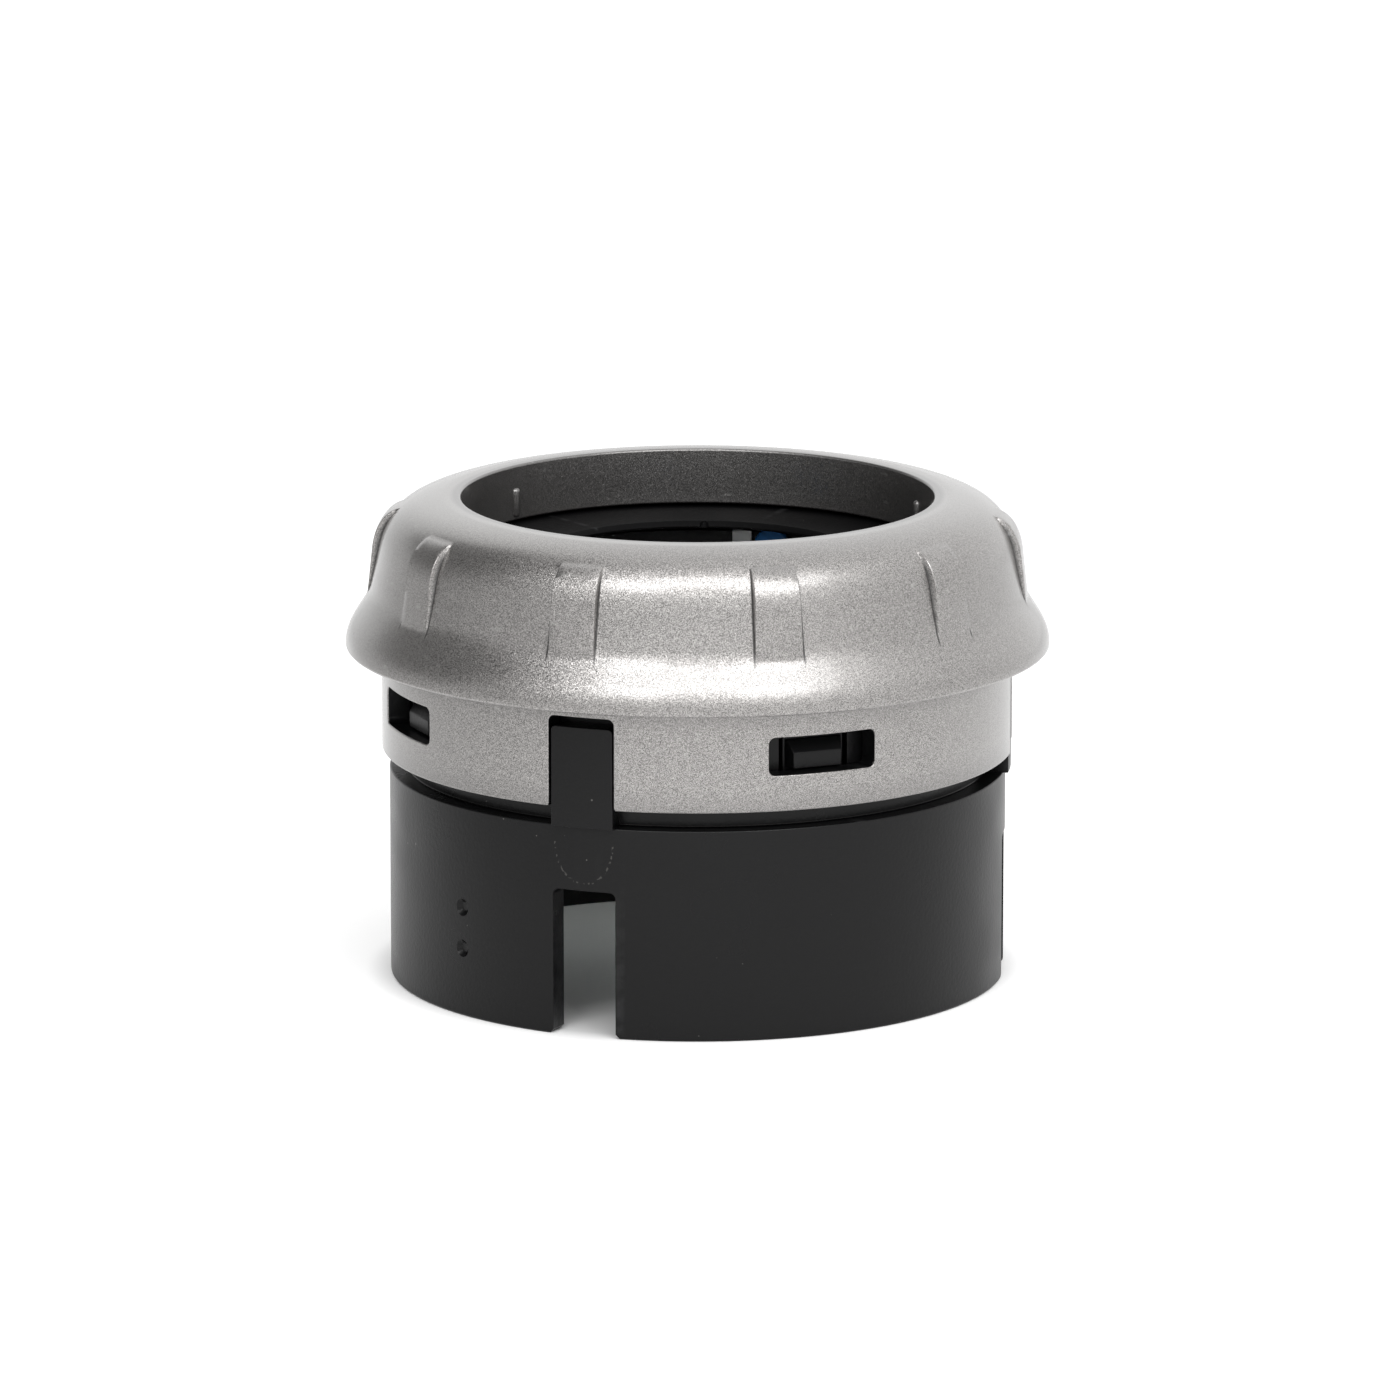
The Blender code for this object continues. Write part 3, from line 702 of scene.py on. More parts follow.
def wire_specks(wiring: Wiring, given: bpy.types.Node) -> dict[str, Socket]:
    """Sparse round specks of dust.

    Args:
        wiring: Nodes of the group.
        given: The group's inputs.

    Returns:
        The group's outputs, by name.
    """
    place = wiring.place()
    cells = wiring.add("ShaderNodeTexVoronoi", {"Vector": place, "Scale": given.outputs["Scale"]})
    parts = wiring.add("ShaderNodeSeparateColor", {"Color": cells.outputs["Color"]})
    kept = wiring.sums("LESS_THAN", parts.outputs[0], given.outputs["Share"])
    size = wiring.sums("MULTIPLY_ADD", parts.outputs[1], 0.12, 0.05)
    near = wiring.sums("LESS_THAN", cells.outputs["Distance"], size)
    return {"Mask": wiring.sums("MULTIPLY", kept, near)}


def wire_scratches(wiring: Wiring, given: bpy.types.Node) -> dict[str, Socket]:
    """Short fine scratches in two directions.

    Args:
        wiring: Nodes of the group.
        given: The group's inputs.

    Returns:
        The group's outputs, by name.
    """
    place = wiring.place()
    masks = []
    for angle, stretch in ((0.5, 14.0), (-0.9, 18.0)):
        inputs = {"Vector": place, "Rotation": (0.3, angle, 0.4), "Scale": (1.0, stretch, stretch)}
        turned = wiring.add("ShaderNodeMapping", inputs).outputs[0]
        masks.append(wiring.ramp(wiring.noise(turned, given.outputs["Scale"], 1.0), 0.74, 0.8))
    both = wiring.sums("MAXIMUM", *masks)
    return {"Mask": wiring.sums("MULTIPLY", both, given.outputs["Share"])}


def wire_edge_highlight(wiring: Wiring, given: bpy.types.Node) -> dict[str, Socket]:
    """Painted highlight along convex edges, patchy, as a mask.

    Args:
        wiring: Nodes of the group.
        given: The group's inputs.

    Returns:
        The group's outputs, by name.
    """
    point = wiring.add("ShaderNodeNewGeometry").outputs["Pointiness"]
    edge = wiring.ramp(point, 0.53, 0.62)
    patchy = wiring.ramp(wiring.noise(wiring.place(), 900.0, 3.0), 0.4, 0.62)
    return {"Mask": wiring.product(edge, patchy, given.outputs["Share"])}


def wire_turning(wiring: Wiring, given: bpy.types.Node) -> dict[str, Socket]:
    """Fine lines round the axis, as a lathe leaves them.

    Args:
        wiring: Nodes of the group.
        given: The group's inputs.

    Returns:
        The group's outputs, by name.
    """
    x, y, z = wiring.split(wiring.place())
    square = wiring.sums("MULTIPLY_ADD", y, y, wiring.sums("MULTIPLY", x, x))
    across = wiring.add("ShaderNodeCombineXYZ", {"X": wiring.sums("SQRT", square), "Y": z}).outputs[0]
    return {"Line": wiring.noise(across, given.outputs["Scale"])}


GRAIN = Effect("moulding_grain", (("Scale", 2500.0),), ("Fine", "Cloud"), wire_grain)
SPECKS = Effect("dust_specks", (("Scale", 400.0), ("Share", 0.05)), ("Mask",), wire_specks)
SCRATCHES = Effect("fine_scratches", (("Scale", 200.0), ("Share", 0.5)), ("Mask",), wire_scratches)
# Painted highlight on convex edges, found by pointiness.
EDGES = Effect("painted_edge_highlight", (("Share", 0.5),), ("Mask",), wire_edge_highlight)
TURNING = Effect("lathe_lines", (("Scale", 6000.0),), ("Line",), wire_turning)


def new_finish(name: str) -> tuple[bpy.types.Material, Wiring, bpy.types.Node]:
    """Start a material.

    Args:
        name: Name of the material.

    Returns:
        The material, its wiring and its Principled node.
    """
    material = bpy.data.materials.new(name)
    material.use_nodes = True
    wiring = Wiring(material.node_tree)
    return material, wiring, material.node_tree.nodes["Principled BSDF"]


def set_plain(shader: bpy.types.Node, **values: object) -> None:
    """Set inputs of a shader that are the same all over, by name with _ for a space."""
    for name, value in values.items():
        shader.inputs[name.replace("_", " ").title().replace("Ior", "IOR")].default_value = value


@dataclass(frozen=True)
class SilverPaint:
    """Silver paint full of metallic flake under a glossy clear coat."""

    bright: Colour = (0.585, 0.564, 0.549, 1)
    dark: Colour = (0.08, 0.077, 0.074, 1)
    # Colour of the painted shade in the well and along the band's edges.
    painted_shade_colour: Colour = (0.16, 0.155, 0.152, 1)
    flake_scale: float = 20000.0
    coarse_scale: float = 14000.0
    tilt: float = 0.2
    roughness: float = 0.38
    coat_roughness: float = 0.13
    well_radius: float = 24.0
    band_radius: float = 32.2
    band_foot: Point = (22.9, 25.2)
    band_head: Point = (30.8, 33.0)
    # Place of the painted shade along the pads' feet, then its colour and strength.
    line_place: float = 4.36
    line_half: Point = (0.04, 0.13)
    line_radius: float = 31.6
    line_foot: Point = (37.2, 37.9)
    line_head: Point = (45.0, 46.2)
    line_inner: float = 28.0
    line_count: int = 10
    pad_shade_colour: Colour = (0.03, 0.03, 0.03, 1)
    pad_shade_share: float = 0.8
    # Strengths of the painted shade at the band's foot, under the lip at its head, and in the well.
    foot_shade: float = 0.4
    head_shade: float = 0.5
    well_shade: float = 0.8
    dust_colour: Colour = (0.05, 0.05, 0.05, 1)
    scratch_colour: Colour = (0.7, 0.7, 0.68, 1)

    def painted_shade(self, wiring: Wiring, height: Socket, reach: Socket) -> Socket:
        """Mask of painted shade: the paint's colour is darkened down in the well and along both edges
        of the band, where shade falls.

        Args:
            wiring: Node tree of the material.
            height: Height of the place.
            reach: Distance from the axis.

        Returns:
            Socket with the mask.
        """
        foot = wiring.ramp(height, *(edge * MM for edge in self.band_foot), self.foot_shade, 0.0)
        head = wiring.ramp(height, *(edge * MM for edge in self.band_head), 0.0, self.head_shade)
        inside = wiring.ramp(reach, self.band_radius * MM, (self.band_radius + 0.2) * MM, 1.0, 0.0)
        under = wiring.sums("LESS_THAN", height, (self.band_head[1] + 0.8) * MM)
        head = wiring.product(head, inside, under)
        edges = (self.well_radius * MM, (self.well_radius + 0.5) * MM)
        well = wiring.ramp(reach, *edges, self.well_shade, 0.0)
        return wiring.sums("MAXIMUM", well, wiring.sums("MAXIMUM", foot, head))

    def painted_pad_shade(self, wiring: Wiring, place: Socket, reach: Socket) -> Socket:
        """Mask of painted shade: a fine dark line along the foot of each pad's walls, where the crease
        is shaded.

        Args:
            wiring: Node tree of the material.
            place: Coordinates of the object.
            reach: Distance from the axis.

        Returns:
            Socket with the mask.
        """
        x, y, z = wiring.split(place)
        aside = wiring.sums("PINGPONG", wiring.sums("ARCTAN2", x, y), math.pi / self.line_count)
        off = wiring.sums("ABSOLUTE", wiring.sums("SUBTRACT", aside, math.radians(self.line_place)))
        line = wiring.ramp(off, *(edge / self.line_radius for edge in self.line_half), 1.0, 0.0)
        above = wiring.ramp(z, *(edge * MM for edge in self.line_foot))
        below = wiring.ramp(z, *(edge * MM for edge in self.line_head), 1.0, 0.0)
        outside = wiring.sums("GREATER_THAN", reach, self.line_inner * MM)
        return wiring.product(line, outside, above, below)

    def flakes(self, wiring: Wiring, place: Socket, spread: Socket) -> tuple[Socket, Socket]:
        """Lay two sizes of flake, which show less at a grazing view.

        Args:
            wiring: Node tree of the material.
            place: Coordinates of the object.
            spread: How far the flakes show.

        Returns:
            Normals of the leaning flakes, and their brightness from 0 to 1.
        """
        leans = []
        for scale in (self.flake_scale, self.coarse_scale):
            cells = wiring.add("ShaderNodeTexVoronoi", {"Vector": place, "Scale": scale})
            leans.append(wiring.vector("SUBTRACT", cells.outputs["Color"], (0.5, 0.5, 0.5)))
        lean = wiring.vector("SCALE", wiring.vector("ADD", *leans))
        wiring.feed(lean.node.inputs["Scale"], wiring.sums("MULTIPLY", spread, self.tilt))
        upright = wiring.add("ShaderNodeNewGeometry").outputs["Normal"]
        normal = wiring.vector("NORMALIZE", wiring.vector("ADD", upright, lean))
        side = wiring.split(leans[0])[0]
        return normal, wiring.sums("MULTIPLY_ADD", side, spread, 0.5)

    def make(self) -> bpy.types.Material:
        """Material of this finish.

        Returns:
            The material.
        """
        material, wiring, shader = new_finish("silver_paint_flake")
        place = wiring.place()
        grazing = wiring.add("ShaderNodeLayerWeight", {"Blend": 0.5}).outputs["Facing"]
        normal, share = self.flakes(wiring, place, wiring.ramp(grazing, 0.3, 0.8, 1.0, 0.25))
        wiring.feed(shader.inputs["Normal"], normal)
        colour = wiring.blend(share, self.dark, self.bright)
        reach = wiring.measure("LENGTH", wiring.vector("MULTIPLY", place, (1.0, 1.0, 0.0)))
        height = wiring.split(place)[2]
        # Painted shade: darker down in the well and along both edges of the band.
        colour = wiring.blend(self.painted_shade(wiring, height, reach), colour, self.painted_shade_colour)
        # Painted shade along the pads' feet. The coat is thinned there too, so the line stays dark
        # through the highlight.
        line = self.painted_pad_shade(wiring, place, reach)
        colour = wiring.blend(wiring.product(line, self.pad_shade_share), colour, self.pad_shade_colour)
        wiring.feed(shader.inputs["Coat Weight"], wiring.ramp(line, 0.0, 1.0, 1.0, 0.3))
        specks = SPECKS.put(wiring, scale=1100.0, share=0.015).outputs["Mask"]
        colour = wiring.blend(wiring.product(specks, 0.5), colour, self.dust_colour)
        scratches = SCRATCHES.put(wiring, scale=75.0, share=0.2).outputs["Mask"]
        wiring.feed(shader.inputs["Base Color"], wiring.blend(scratches, colour, self.scratch_colour))
        cloud = GRAIN.put(wiring, scale=1500.0).outputs["Cloud"]
        spread = wiring.ramp(cloud, 0.3, 0.7, self.roughness - 0.03, self.roughness + 0.03)
        wiring.feed(shader.inputs["Roughness"], spread)
        set_plain(shader, metallic=0.9, coat_roughness=self.coat_roughness, coat_ior=1.5)
        return material


@dataclass(frozen=True)
class BlackMoulding:
    """Black moulded plastic, semi-gloss, with a little dust and a painted highlight along its edges."""

    name: str = "black_moulding_fine"
    tone: Colour = (0.0045, 0.0045, 0.0048, 1)
    roughness: float = 0.3
    specular: float = 0.24
    grain: float = 0.00002
    # Strength of the painted highlight along the edges.
    edge_highlight: float = 0.25
    gate_azimuth: float = 0.8
    gate_middle: Point = (30.5, 19.2)
    gate_half: Point = (3.0, 4.0)
    gate_depth: float = -29.3
    gate_share: float = 0.1
    dust_share: float = 0.16
    dust_colour: Colour = (0.5, 0.48, 0.45, 1)
    # Colour of the painted highlight along the edges.
    edge_highlight_colour: Colour = (0.05, 0.05, 0.052, 1)

    def gate_mark(self, wiring: Wiring) -> Socket:
        """Mask of the dotted bow that the gate left on the skirt, under the front key.

        Args:
            wiring: Node tree of the material.

        Returns:
            Socket with the mask.
        """
        place = wiring.place()
        x, y, z = wiring.split(place)
        radius, height = self.gate_middle
        middle = radius * math.sin(math.radians(self.gate_azimuth))
        across = wiring.sums("DIVIDE", wiring.sums("SUBTRACT", x, middle * MM), self.gate_half[0] * MM)
        down = wiring.sums("DIVIDE", wiring.sums("SUBTRACT", height * MM, z), self.gate_half[1] * MM)
        square = wiring.sums("MULTIPLY_ADD", across, across, wiring.product(down, down))
        off = wiring.sums("ABSOLUTE", wiring.sums("SUBTRACT", wiring.sums("SQRT", square), 1.0))
        line = wiring.ramp(off, 0.01, 0.04, 1.0, 0.0)
        dots = wiring.ramp(wiring.noise(place, 2600.0, 1.0), 0.52, 0.6)
        lower = wiring.sums("GREATER_THAN", down, 0.0)
        front = wiring.sums("LESS_THAN", y, self.gate_depth * MM)
        return wiring.product(line, dots, lower, front)

    def make(self) -> bpy.types.Material:
        """Material of this finish.

        Returns:
            The material.
        """
        material, wiring, shader = new_finish(self.name)
        grain = GRAIN.put(wiring, scale=2600.0)
        specks = SPECKS.put(wiring, scale=1300.0, share=0.03).outputs["Mask"]
        # Painted highlight: convex edges are lightened.
        edges = EDGES.put(wiring, share=self.edge_highlight).outputs["Mask"]
        gate = wiring.product(self.gate_mark(wiring), self.gate_share)
        marks = wiring.sums("MAXIMUM", wiring.product(specks, self.dust_share), gate)
        dust = wiring.blend(marks, self.tone, self.dust_colour)
        wiring.feed(shader.inputs["Base Color"], wiring.blend(edges, dust, self.edge_highlight_colour))
        limits = (self.roughness - 0.04, self.roughness + 0.05)
        wiring.feed(shader.inputs["Roughness"], wiring.ramp(grain.outputs["Cloud"], 0.3, 0.7, *limits))
        inputs = {"Height": grain.outputs["Fine"], "Strength": 1.0, "Distance": self.grain}
        wiring.feed(shader.inputs["Normal"], wiring.add("ShaderNodeBump", inputs).outputs[0])
        set_plain(shader, specular_ior_level=self.specular)
        return material


@dataclass(frozen=True)
class CellBlack:
    """Black anodised metal with fine lathe lines."""

    tone: Colour = (0.016, 0.016, 0.017, 1)
    # Colour of the painted highlight on the edges.
    edge_highlight_tone: Colour = (0.12, 0.12, 0.125, 1)

    def make(self) -> bpy.types.Material:
        """Material of this finish.

        Returns:
            The material.
        """
        material, wiring, shader = new_finish("cell_black_turned")
        line = TURNING.put(wiring, scale=5000.0).outputs["Line"]
        # Painted highlight: convex edges are lightened.
        edges = EDGES.put(wiring, share=0.6).outputs["Mask"]
        wiring.feed(shader.inputs["Base Color"], wiring.blend(edges, self.tone, self.edge_highlight_tone))
        wiring.feed(shader.inputs["Roughness"], wiring.ramp(line, 0.3, 0.7, 0.36, 0.52))
        bump = wiring.add("ShaderNodeBump", {"Height": line, "Strength": 0.6, "Distance": 0.00002})
        wiring.feed(shader.inputs["Normal"], bump.outputs[0])
        set_plain(shader, metallic=0.4)
        return material


@dataclass(frozen=True)
class LensGlass:
    """Clear crown glass that lets some light through to the print."""

    tone: Colour = (0.95, 0.975, 0.965, 1)
    shade: Colour = (0.92, 0.93, 0.92, 1)

    def make(self) -> bpy.types.Material:
        """Material of this finish.

        Returns:
            The material.
        """
        material, wiring, shader = new_finish("lens_glass_clear")
        set_plain(shader, base_color=self.tone, roughness=0.0, ior=1.52, transmission_weight=1.0)
        clear = wiring.add("ShaderNodeBsdfTransparent", {"Color": self.shade})
        shadow = wiring.add("ShaderNodeLightPath").outputs["Is Shadow Ray"]
        inputs = {0: shadow, 1: shader.outputs[0], 2: clear.outputs[0]}
        surface = material.node_tree.nodes["Material Output"].inputs["Surface"]
        wiring.feed(surface, wiring.add("ShaderNodeMixShader", inputs).outputs[0])
        return material


@dataclass(frozen=True)
class BlueMoulding:
    """Blue low-friction plastic."""

    tone: Colour = (0.02, 0.15, 0.42, 1)
    # Colour of the painted highlight on the edges.
    pale: Colour = (0.05, 0.22, 0.5, 1)

    def make(self) -> bpy.types.Material:
        """Material of this finish.

        Returns:
            The material.
        """
        material, wiring, shader = new_finish("blue_moulding_fine")
        grain = GRAIN.put(wiring, scale=3500.0)
        # Painted highlight: convex edges are lightened to the pale blue.
        edges = EDGES.put(wiring, share=0.5).outputs["Mask"]
        wiring.feed(shader.inputs["Base Color"], wiring.blend(edges, self.tone, self.pale))
        wiring.feed(shader.inputs["Roughness"], wiring.ramp(grain.outputs["Fine"], 0.3, 0.7, 0.3, 0.42))
        return material


@dataclass(frozen=True)
class Steel:
    """Bare or plated steel with fine scratches."""

    name: str
    tone: Colour
    roughness: float

    def make(self) -> bpy.types.Material:
        """Material of this finish.

        Returns:
            The material.
        """
        material, wiring, shader = new_finish(self.name)
        grain = GRAIN.put(wiring, scale=4000.0).outputs["Cloud"]
        scratches = SCRATCHES.put(wiring, scale=300.0, share=0.6).outputs["Mask"]
        pale = tuple(min(1.0, 1.25 * channel) for channel in self.tone)
        wiring.feed(shader.inputs["Base Color"], wiring.blend(scratches, self.tone, pale))
        limits = (self.roughness, self.roughness + 0.15)
        wiring.feed(shader.inputs["Roughness"], wiring.ramp(grain, 0.3, 0.7, *limits))
        set_plain(shader, metallic=1.0)
        return material


@dataclass(frozen=True)
class GripPad:
    """One of the raised pads on the cap's flank."""

    count: int = 10
    half_angle: float = 4.18
    head: Point = (28.92, 46.6)
    handles: tuple[Point, Point] = ((30.77, 46.4), (31.9, 44.74))
    shoulder: Point = (32.13, 42.49)
    foot: Point = (32.68, 37.4)
    blend: float = 2.2
    wall: tuple[float, ...] = (-0.13, -0.05, 0.05, 0.1)
    raised: tuple[float, ...] = (1.0, 0.9, 0.1, 0.0)
    first_wall: int = 3
    free: int = 12

    def face(self) -> Outline:
        """Radius and height of the pad's face, from its foot up."""
        return [self.foot, *reversed(cubic((self.head, self.shoulder), self.handles, 40))]

    def height_over(self, radius: float, height: float) -> float:
        """How far the pad's face stands out from the flank at a height.

        Args:
            radius: Radius of the flank there.
            height: Height of the place.

        Returns:
            The distance, 0 where the face lies under the flank.
        """
        line = self.face()
        for below, above in zip(line, line[1:]):
            if below[1] <= height <= above[1]:
                share = (height - below[1]) / (above[1] - below[1])
                return max(0.0, below[0] + share * (above[0] - below[0]) - radius)
        return 0.0

    def gathered(self, height: float) -> float:
        """How far the meridians are gathered to the pad's walls at a height, from 0 to 1."""
        below = smoothstep((height - self.foot[1]) / self.blend + 1)
        return below * smoothstep((self.head[1] - height) / self.blend + 1)

    def angle(self, step: int, radius: float, height: float) -> float:
        """Angle that a meridian takes beside the pad's middle.

        Args:
            step: Meridian counted from the middle, one for each degree.
            radius: Radius of the surface there.
            height: Height of the surface there.

        Returns:
            The angle, in degrees.
        """
        count = abs(step)
        walls = [self.half_angle + math.degrees(offset / radius) for offset in self.wall]
        last_wall = self.first_wall + len(walls) - 1
        if count < self.first_wall:
            moved = walls[0] * count / self.first_wall
        elif count <= last_wall:
            moved = walls[count - self.first_wall]
        elif count < self.free:
            moved = walls[-1] + (self.free - walls[-1]) * (count - last_wall) / (self.free - last_wall)
        else:
            moved = count
        return math.copysign(count + self.gathered(height) * (moved - count), step)

    def raised_share(self, step: int) -> float:
        """Share of the pad's height that a meridian takes.

        Args:
            step: Meridian counted from the pad's middle.

        Returns:
            The share, from 0 to 1.
        """
        beyond = abs(step) - self.first_wall
        if beyond < 0:
            return 1.0
        return self.raised[beyond] if beyond < len(self.raised) else 0.0


@dataclass
class GripCap:
    """Silver cap: a turned shell with raised pads, windows, notches and well ribs."""

    paint: bpy.types.Material
    bare: bpy.types.Material
    meridians: int = 360
    well_radius: float = 23.33
    well_wall: float = 1.97
    well_bottom: float = 42.3
    crown: float = 47.9
    crown_outer: float = 25.0
    shoulder_handles: tuple[Point, Point] = ((30.25, 47.3), (31.0, 45.18))
    flank_top: Point = (31.65, 41.68)
    flank_bottom: Point = (32.19, 39.26)
    flare_handles: tuple[Point, Point] = ((32.65, 36.9), (34.75, 35.6))
    lip: Point = (34.8, 33.0)
    lip_rise: float = 0.3
    lip_inner: float = 33.4
    hollow_radius: float = 32.9
    hollow_top: float = 34.6
    band_radius: float = 31.25
    band_bore: float = 29.05
    band_bottom: float = 22.8
    bore: float = 30.2
    bore_slope: Point = (36.2, 37.4)
    bore_top: float = 43.6
    bore_lean: float = 0.6
    ceiling: float = 45.7
    ceiling_radius: float = 28.95
    skin: float = 0.12
    least_outwards: float = 0.45
    pad: GripPad = GripPad()
    window_half: float = 5.59
    window_span: Point = (26.37, 30.07)
    window_azimuths: tuple[float, ...] = (45.0, 135.0, -135.0, -45.0)
    notch_half: float = 3.38
    notch_top: float = 31.8
    notch_azimuths: tuple[float, ...] = (0.8, 108.8, -107.2)
    opening_corner: float = 0.8
    opening_roll: float = 0.16
    notch_foot: float = 0.4
    rib_azimuths: tuple[float, ...] = (13.0, 133.0, 253.0)
    rib_radius: float = 0.5
    rib_proud: float = 0.35
    rib_span: Point = (42.7, 45.6)

    def section(self) -> Outline:
        """Section of the shell, from the well's edge over the outside and back up the inside.

        Returns:
            Radius and height of its points.
        """
        crown_end = (self.crown_outer, self.crown)
        shoulder = cubic((crown_end, self.flank_top), self.shoulder_handles, steps=44)
        flank = straight(self.flank_top, self.flank_bottom, steps=9)
        flare_end = (self.lip[0], self.lip[1] + self.lip_rise)
        flare = cubic((self.flank_bottom, flare_end), self.flare_handles, steps=26)
        corners = [Corner(self.well_radius, self.crown, 0.25)]
        corners += plain(shoulder + flank + flare[1:])
        corners += [
            Corner(*self.lip, 0.28),
            Corner(self.lip_inner, self.lip[1], 0.15),
            Corner(self.hollow_radius, self.hollow_top, 0.3),
            Corner(self.band_radius, self.hollow_top, 0.25),
            Corner(self.band_radius, self.band_bottom, 0.2),
            Corner(self.band_bore, self.band_bottom, 0.2),
            Corner(self.band_bore, self.bore_slope[0]),
            Corner(self.bore, self.bore_slope[1]),
            Corner(self.bore, self.bore_top, 0.5),
            Corner(self.ceiling_radius, self.ceiling, 0.3),
            Corner(self.well_radius + self.well_wall, self.ceiling, 0.3),
            Corner(self.well_radius + self.well_wall, self.well_bottom, 0.2),
            Corner(self.well_radius, self.well_bottom, 0.2),
        ]
        return rounded(corners)

    def is_outside(self, radius: float, height: float) -> bool:
        """Whether a place above the lip lies on the cap's outer side.

        Args:
            radius: Distance of the place from the axis.
            height: Its height.

        Returns:
            True on the outer side.
        """
        if height > self.ceiling + 0.05:
            return radius > self.crown_outer - CLEARANCE
        return radius > self.bore + self.skin - self.bore_lean * max(0.0, height - self.bore_top)

    def raise_pads(self, shell: Piece) -> None:
        """Gather the meridians to the pads' walls and bring the pads out.

        Args:
            shell: The turned shell, with one meridian for each degree.
        """
        period = self.meridians // self.pad.count
        for vertex in shell.data.vertices:
            place = vertex.co / MM
            radius, height = radius_of(place), place.z
            if not (self.pad.gathered(height) and self.is_outside(radius, height)):
                continue
            meridian = round(azimuth_of(place))
            step = (meridian + period // 2) % period - period // 2
            turned = math.radians(meridian - step + self.pad.angle(step, radius, height))
            raised = self.pad.raised_share(step)
            if raised:
                radius += raised * self.pad.height_over(radius, height)
            vertex.co = Vector((radius * math.sin(turned), -radius * math.cos(turned), height)) * MM

    def opening(self, name: str, outline: Outline, azimuths: Sequence[float]) -> list[Piece]:
        """Cutters of one kind of opening in the band, with rolled mouths.

        Args:
            name: Name of the cutters.
            outline: Outline at the band's outside, roll included.
            azimuths: Where the openings are.

        Returns:
            The cutters, wrapped round the axis.
        """
        strokes = [Stroke(CLEARANCE), *rolled_edge(self.opening_roll, Way.INWARDS)]
        strokes.append(Stroke(self.band_radius - self.band_bore + CLEARANCE))
        cutter = push(name, outline, self.band_radius + CLEARANCE, strokes)
        return round_about(wrap(cutter, self.band_radius), azimuths)

    def notch_outline(self) -> Outline:
        """Outline of a key notch, open below, with the band's corners beside it rounded.

        Returns:
            Its outline, as across and up.
        """
        roll = self.opening_roll
        half, top = self.notch_half + roll, self.notch_top + roll
        foot, round_foot = self.band_bottom, self.notch_foot
        below = foot - CLEARANCE
        right = arc((half + round_foot, foot + round_foot), round_foot, 270, 180, 5)
        left = [(-across, up) for across, up in reversed(right)]
        corners = plain([(half + round_foot, below), *right])
        corners += [Corner(half, top, self.opening_corner), Corner(-half, top, self.opening_corner)]
        corners += plain([*left, (-half - round_foot, below)])
        return rounded(corners, steps=6)

    def ribs(self) -> list[Piece]:
        """Small upright ribs on the well's wall.

        Returns:
            One rib for each azimuth.
        """
        low, high = self.rib_span
        tip = self.rib_radius
        corners = [Corner(0, low), Corner(tip, low, 0.2), Corner(tip, high, 0.4), Corner(0, high)]
        rib = turn("well_rib", rounded(corners), 24)
        shift(rib, self.well_radius + self.rib_radius - self.rib_proud, 0)
        return round_about(rib, self.rib_azimuths)

    def is_painted(self, middle: Vector, normal: Vector) -> bool:
        """Whether paint reaches a face: outside, crown and well, not the openings or the inside.

        Args:
            middle: Middle of the face, in millimetres.
            normal: Its normal.

        Returns:
            True where it is painted.
        """
        radius = radius_of(middle)
        outwards = (normal.x * middle.x + normal.y * middle.y) / radius
        if middle.z > self.ceiling + 0.05 or radius < self.well_radius + 0.2:
            return True
        if middle.z > self.hollow_top:
            return self.is_outside(radius, middle.z)
        if radius > self.lip[0] - 0.5:
            return True
        return radius > self.band_radius - 0.2 and outwards > self.least_outwards

    def build(self) -> Piece:
        """Model the cap and set it on the stand.

        Returns:
            The cap.
        """
        shell = turn("grip_cap_shell", self.section(), self.meridians)
        self.raise_pads(shell)
        roll = self.opening_roll
        low, high = self.window_span
        corner = self.opening_corner
        window = box_outline(self.window_half + roll, low - roll, high + roll, corner, corner)
        cutters = self.opening("window", window, self.window_azimuths)
        cutters += self.opening("notch", self.notch_outline(), self.notch_azimuths)
        combine(shell, Combine.CUT, cutters)
        combine(shell, Combine.JOIN, self.ribs())
        self.dress(shell)
        seat(smooth(shell), Body.STAND.value, "grip_cap")
        return shell

    def dress(self, shell: Piece) -> None:
        """Paint the outside and leave the moulding bare elsewhere.

        Args:
            shell: The cap.
        """
        shell.data.materials.clear()
        shell.data.materials.append(self.paint)
        shell.data.materials.append(self.bare)
        enter_edit(shell)
        pick_faces(shell, lambda middle, normal: not self.is_painted(middle, normal))
        shell.active_material_index = 1
        bpy.ops.object.material_slot_assign()
        bpy.ops.object.mode_set(mode="OBJECT")


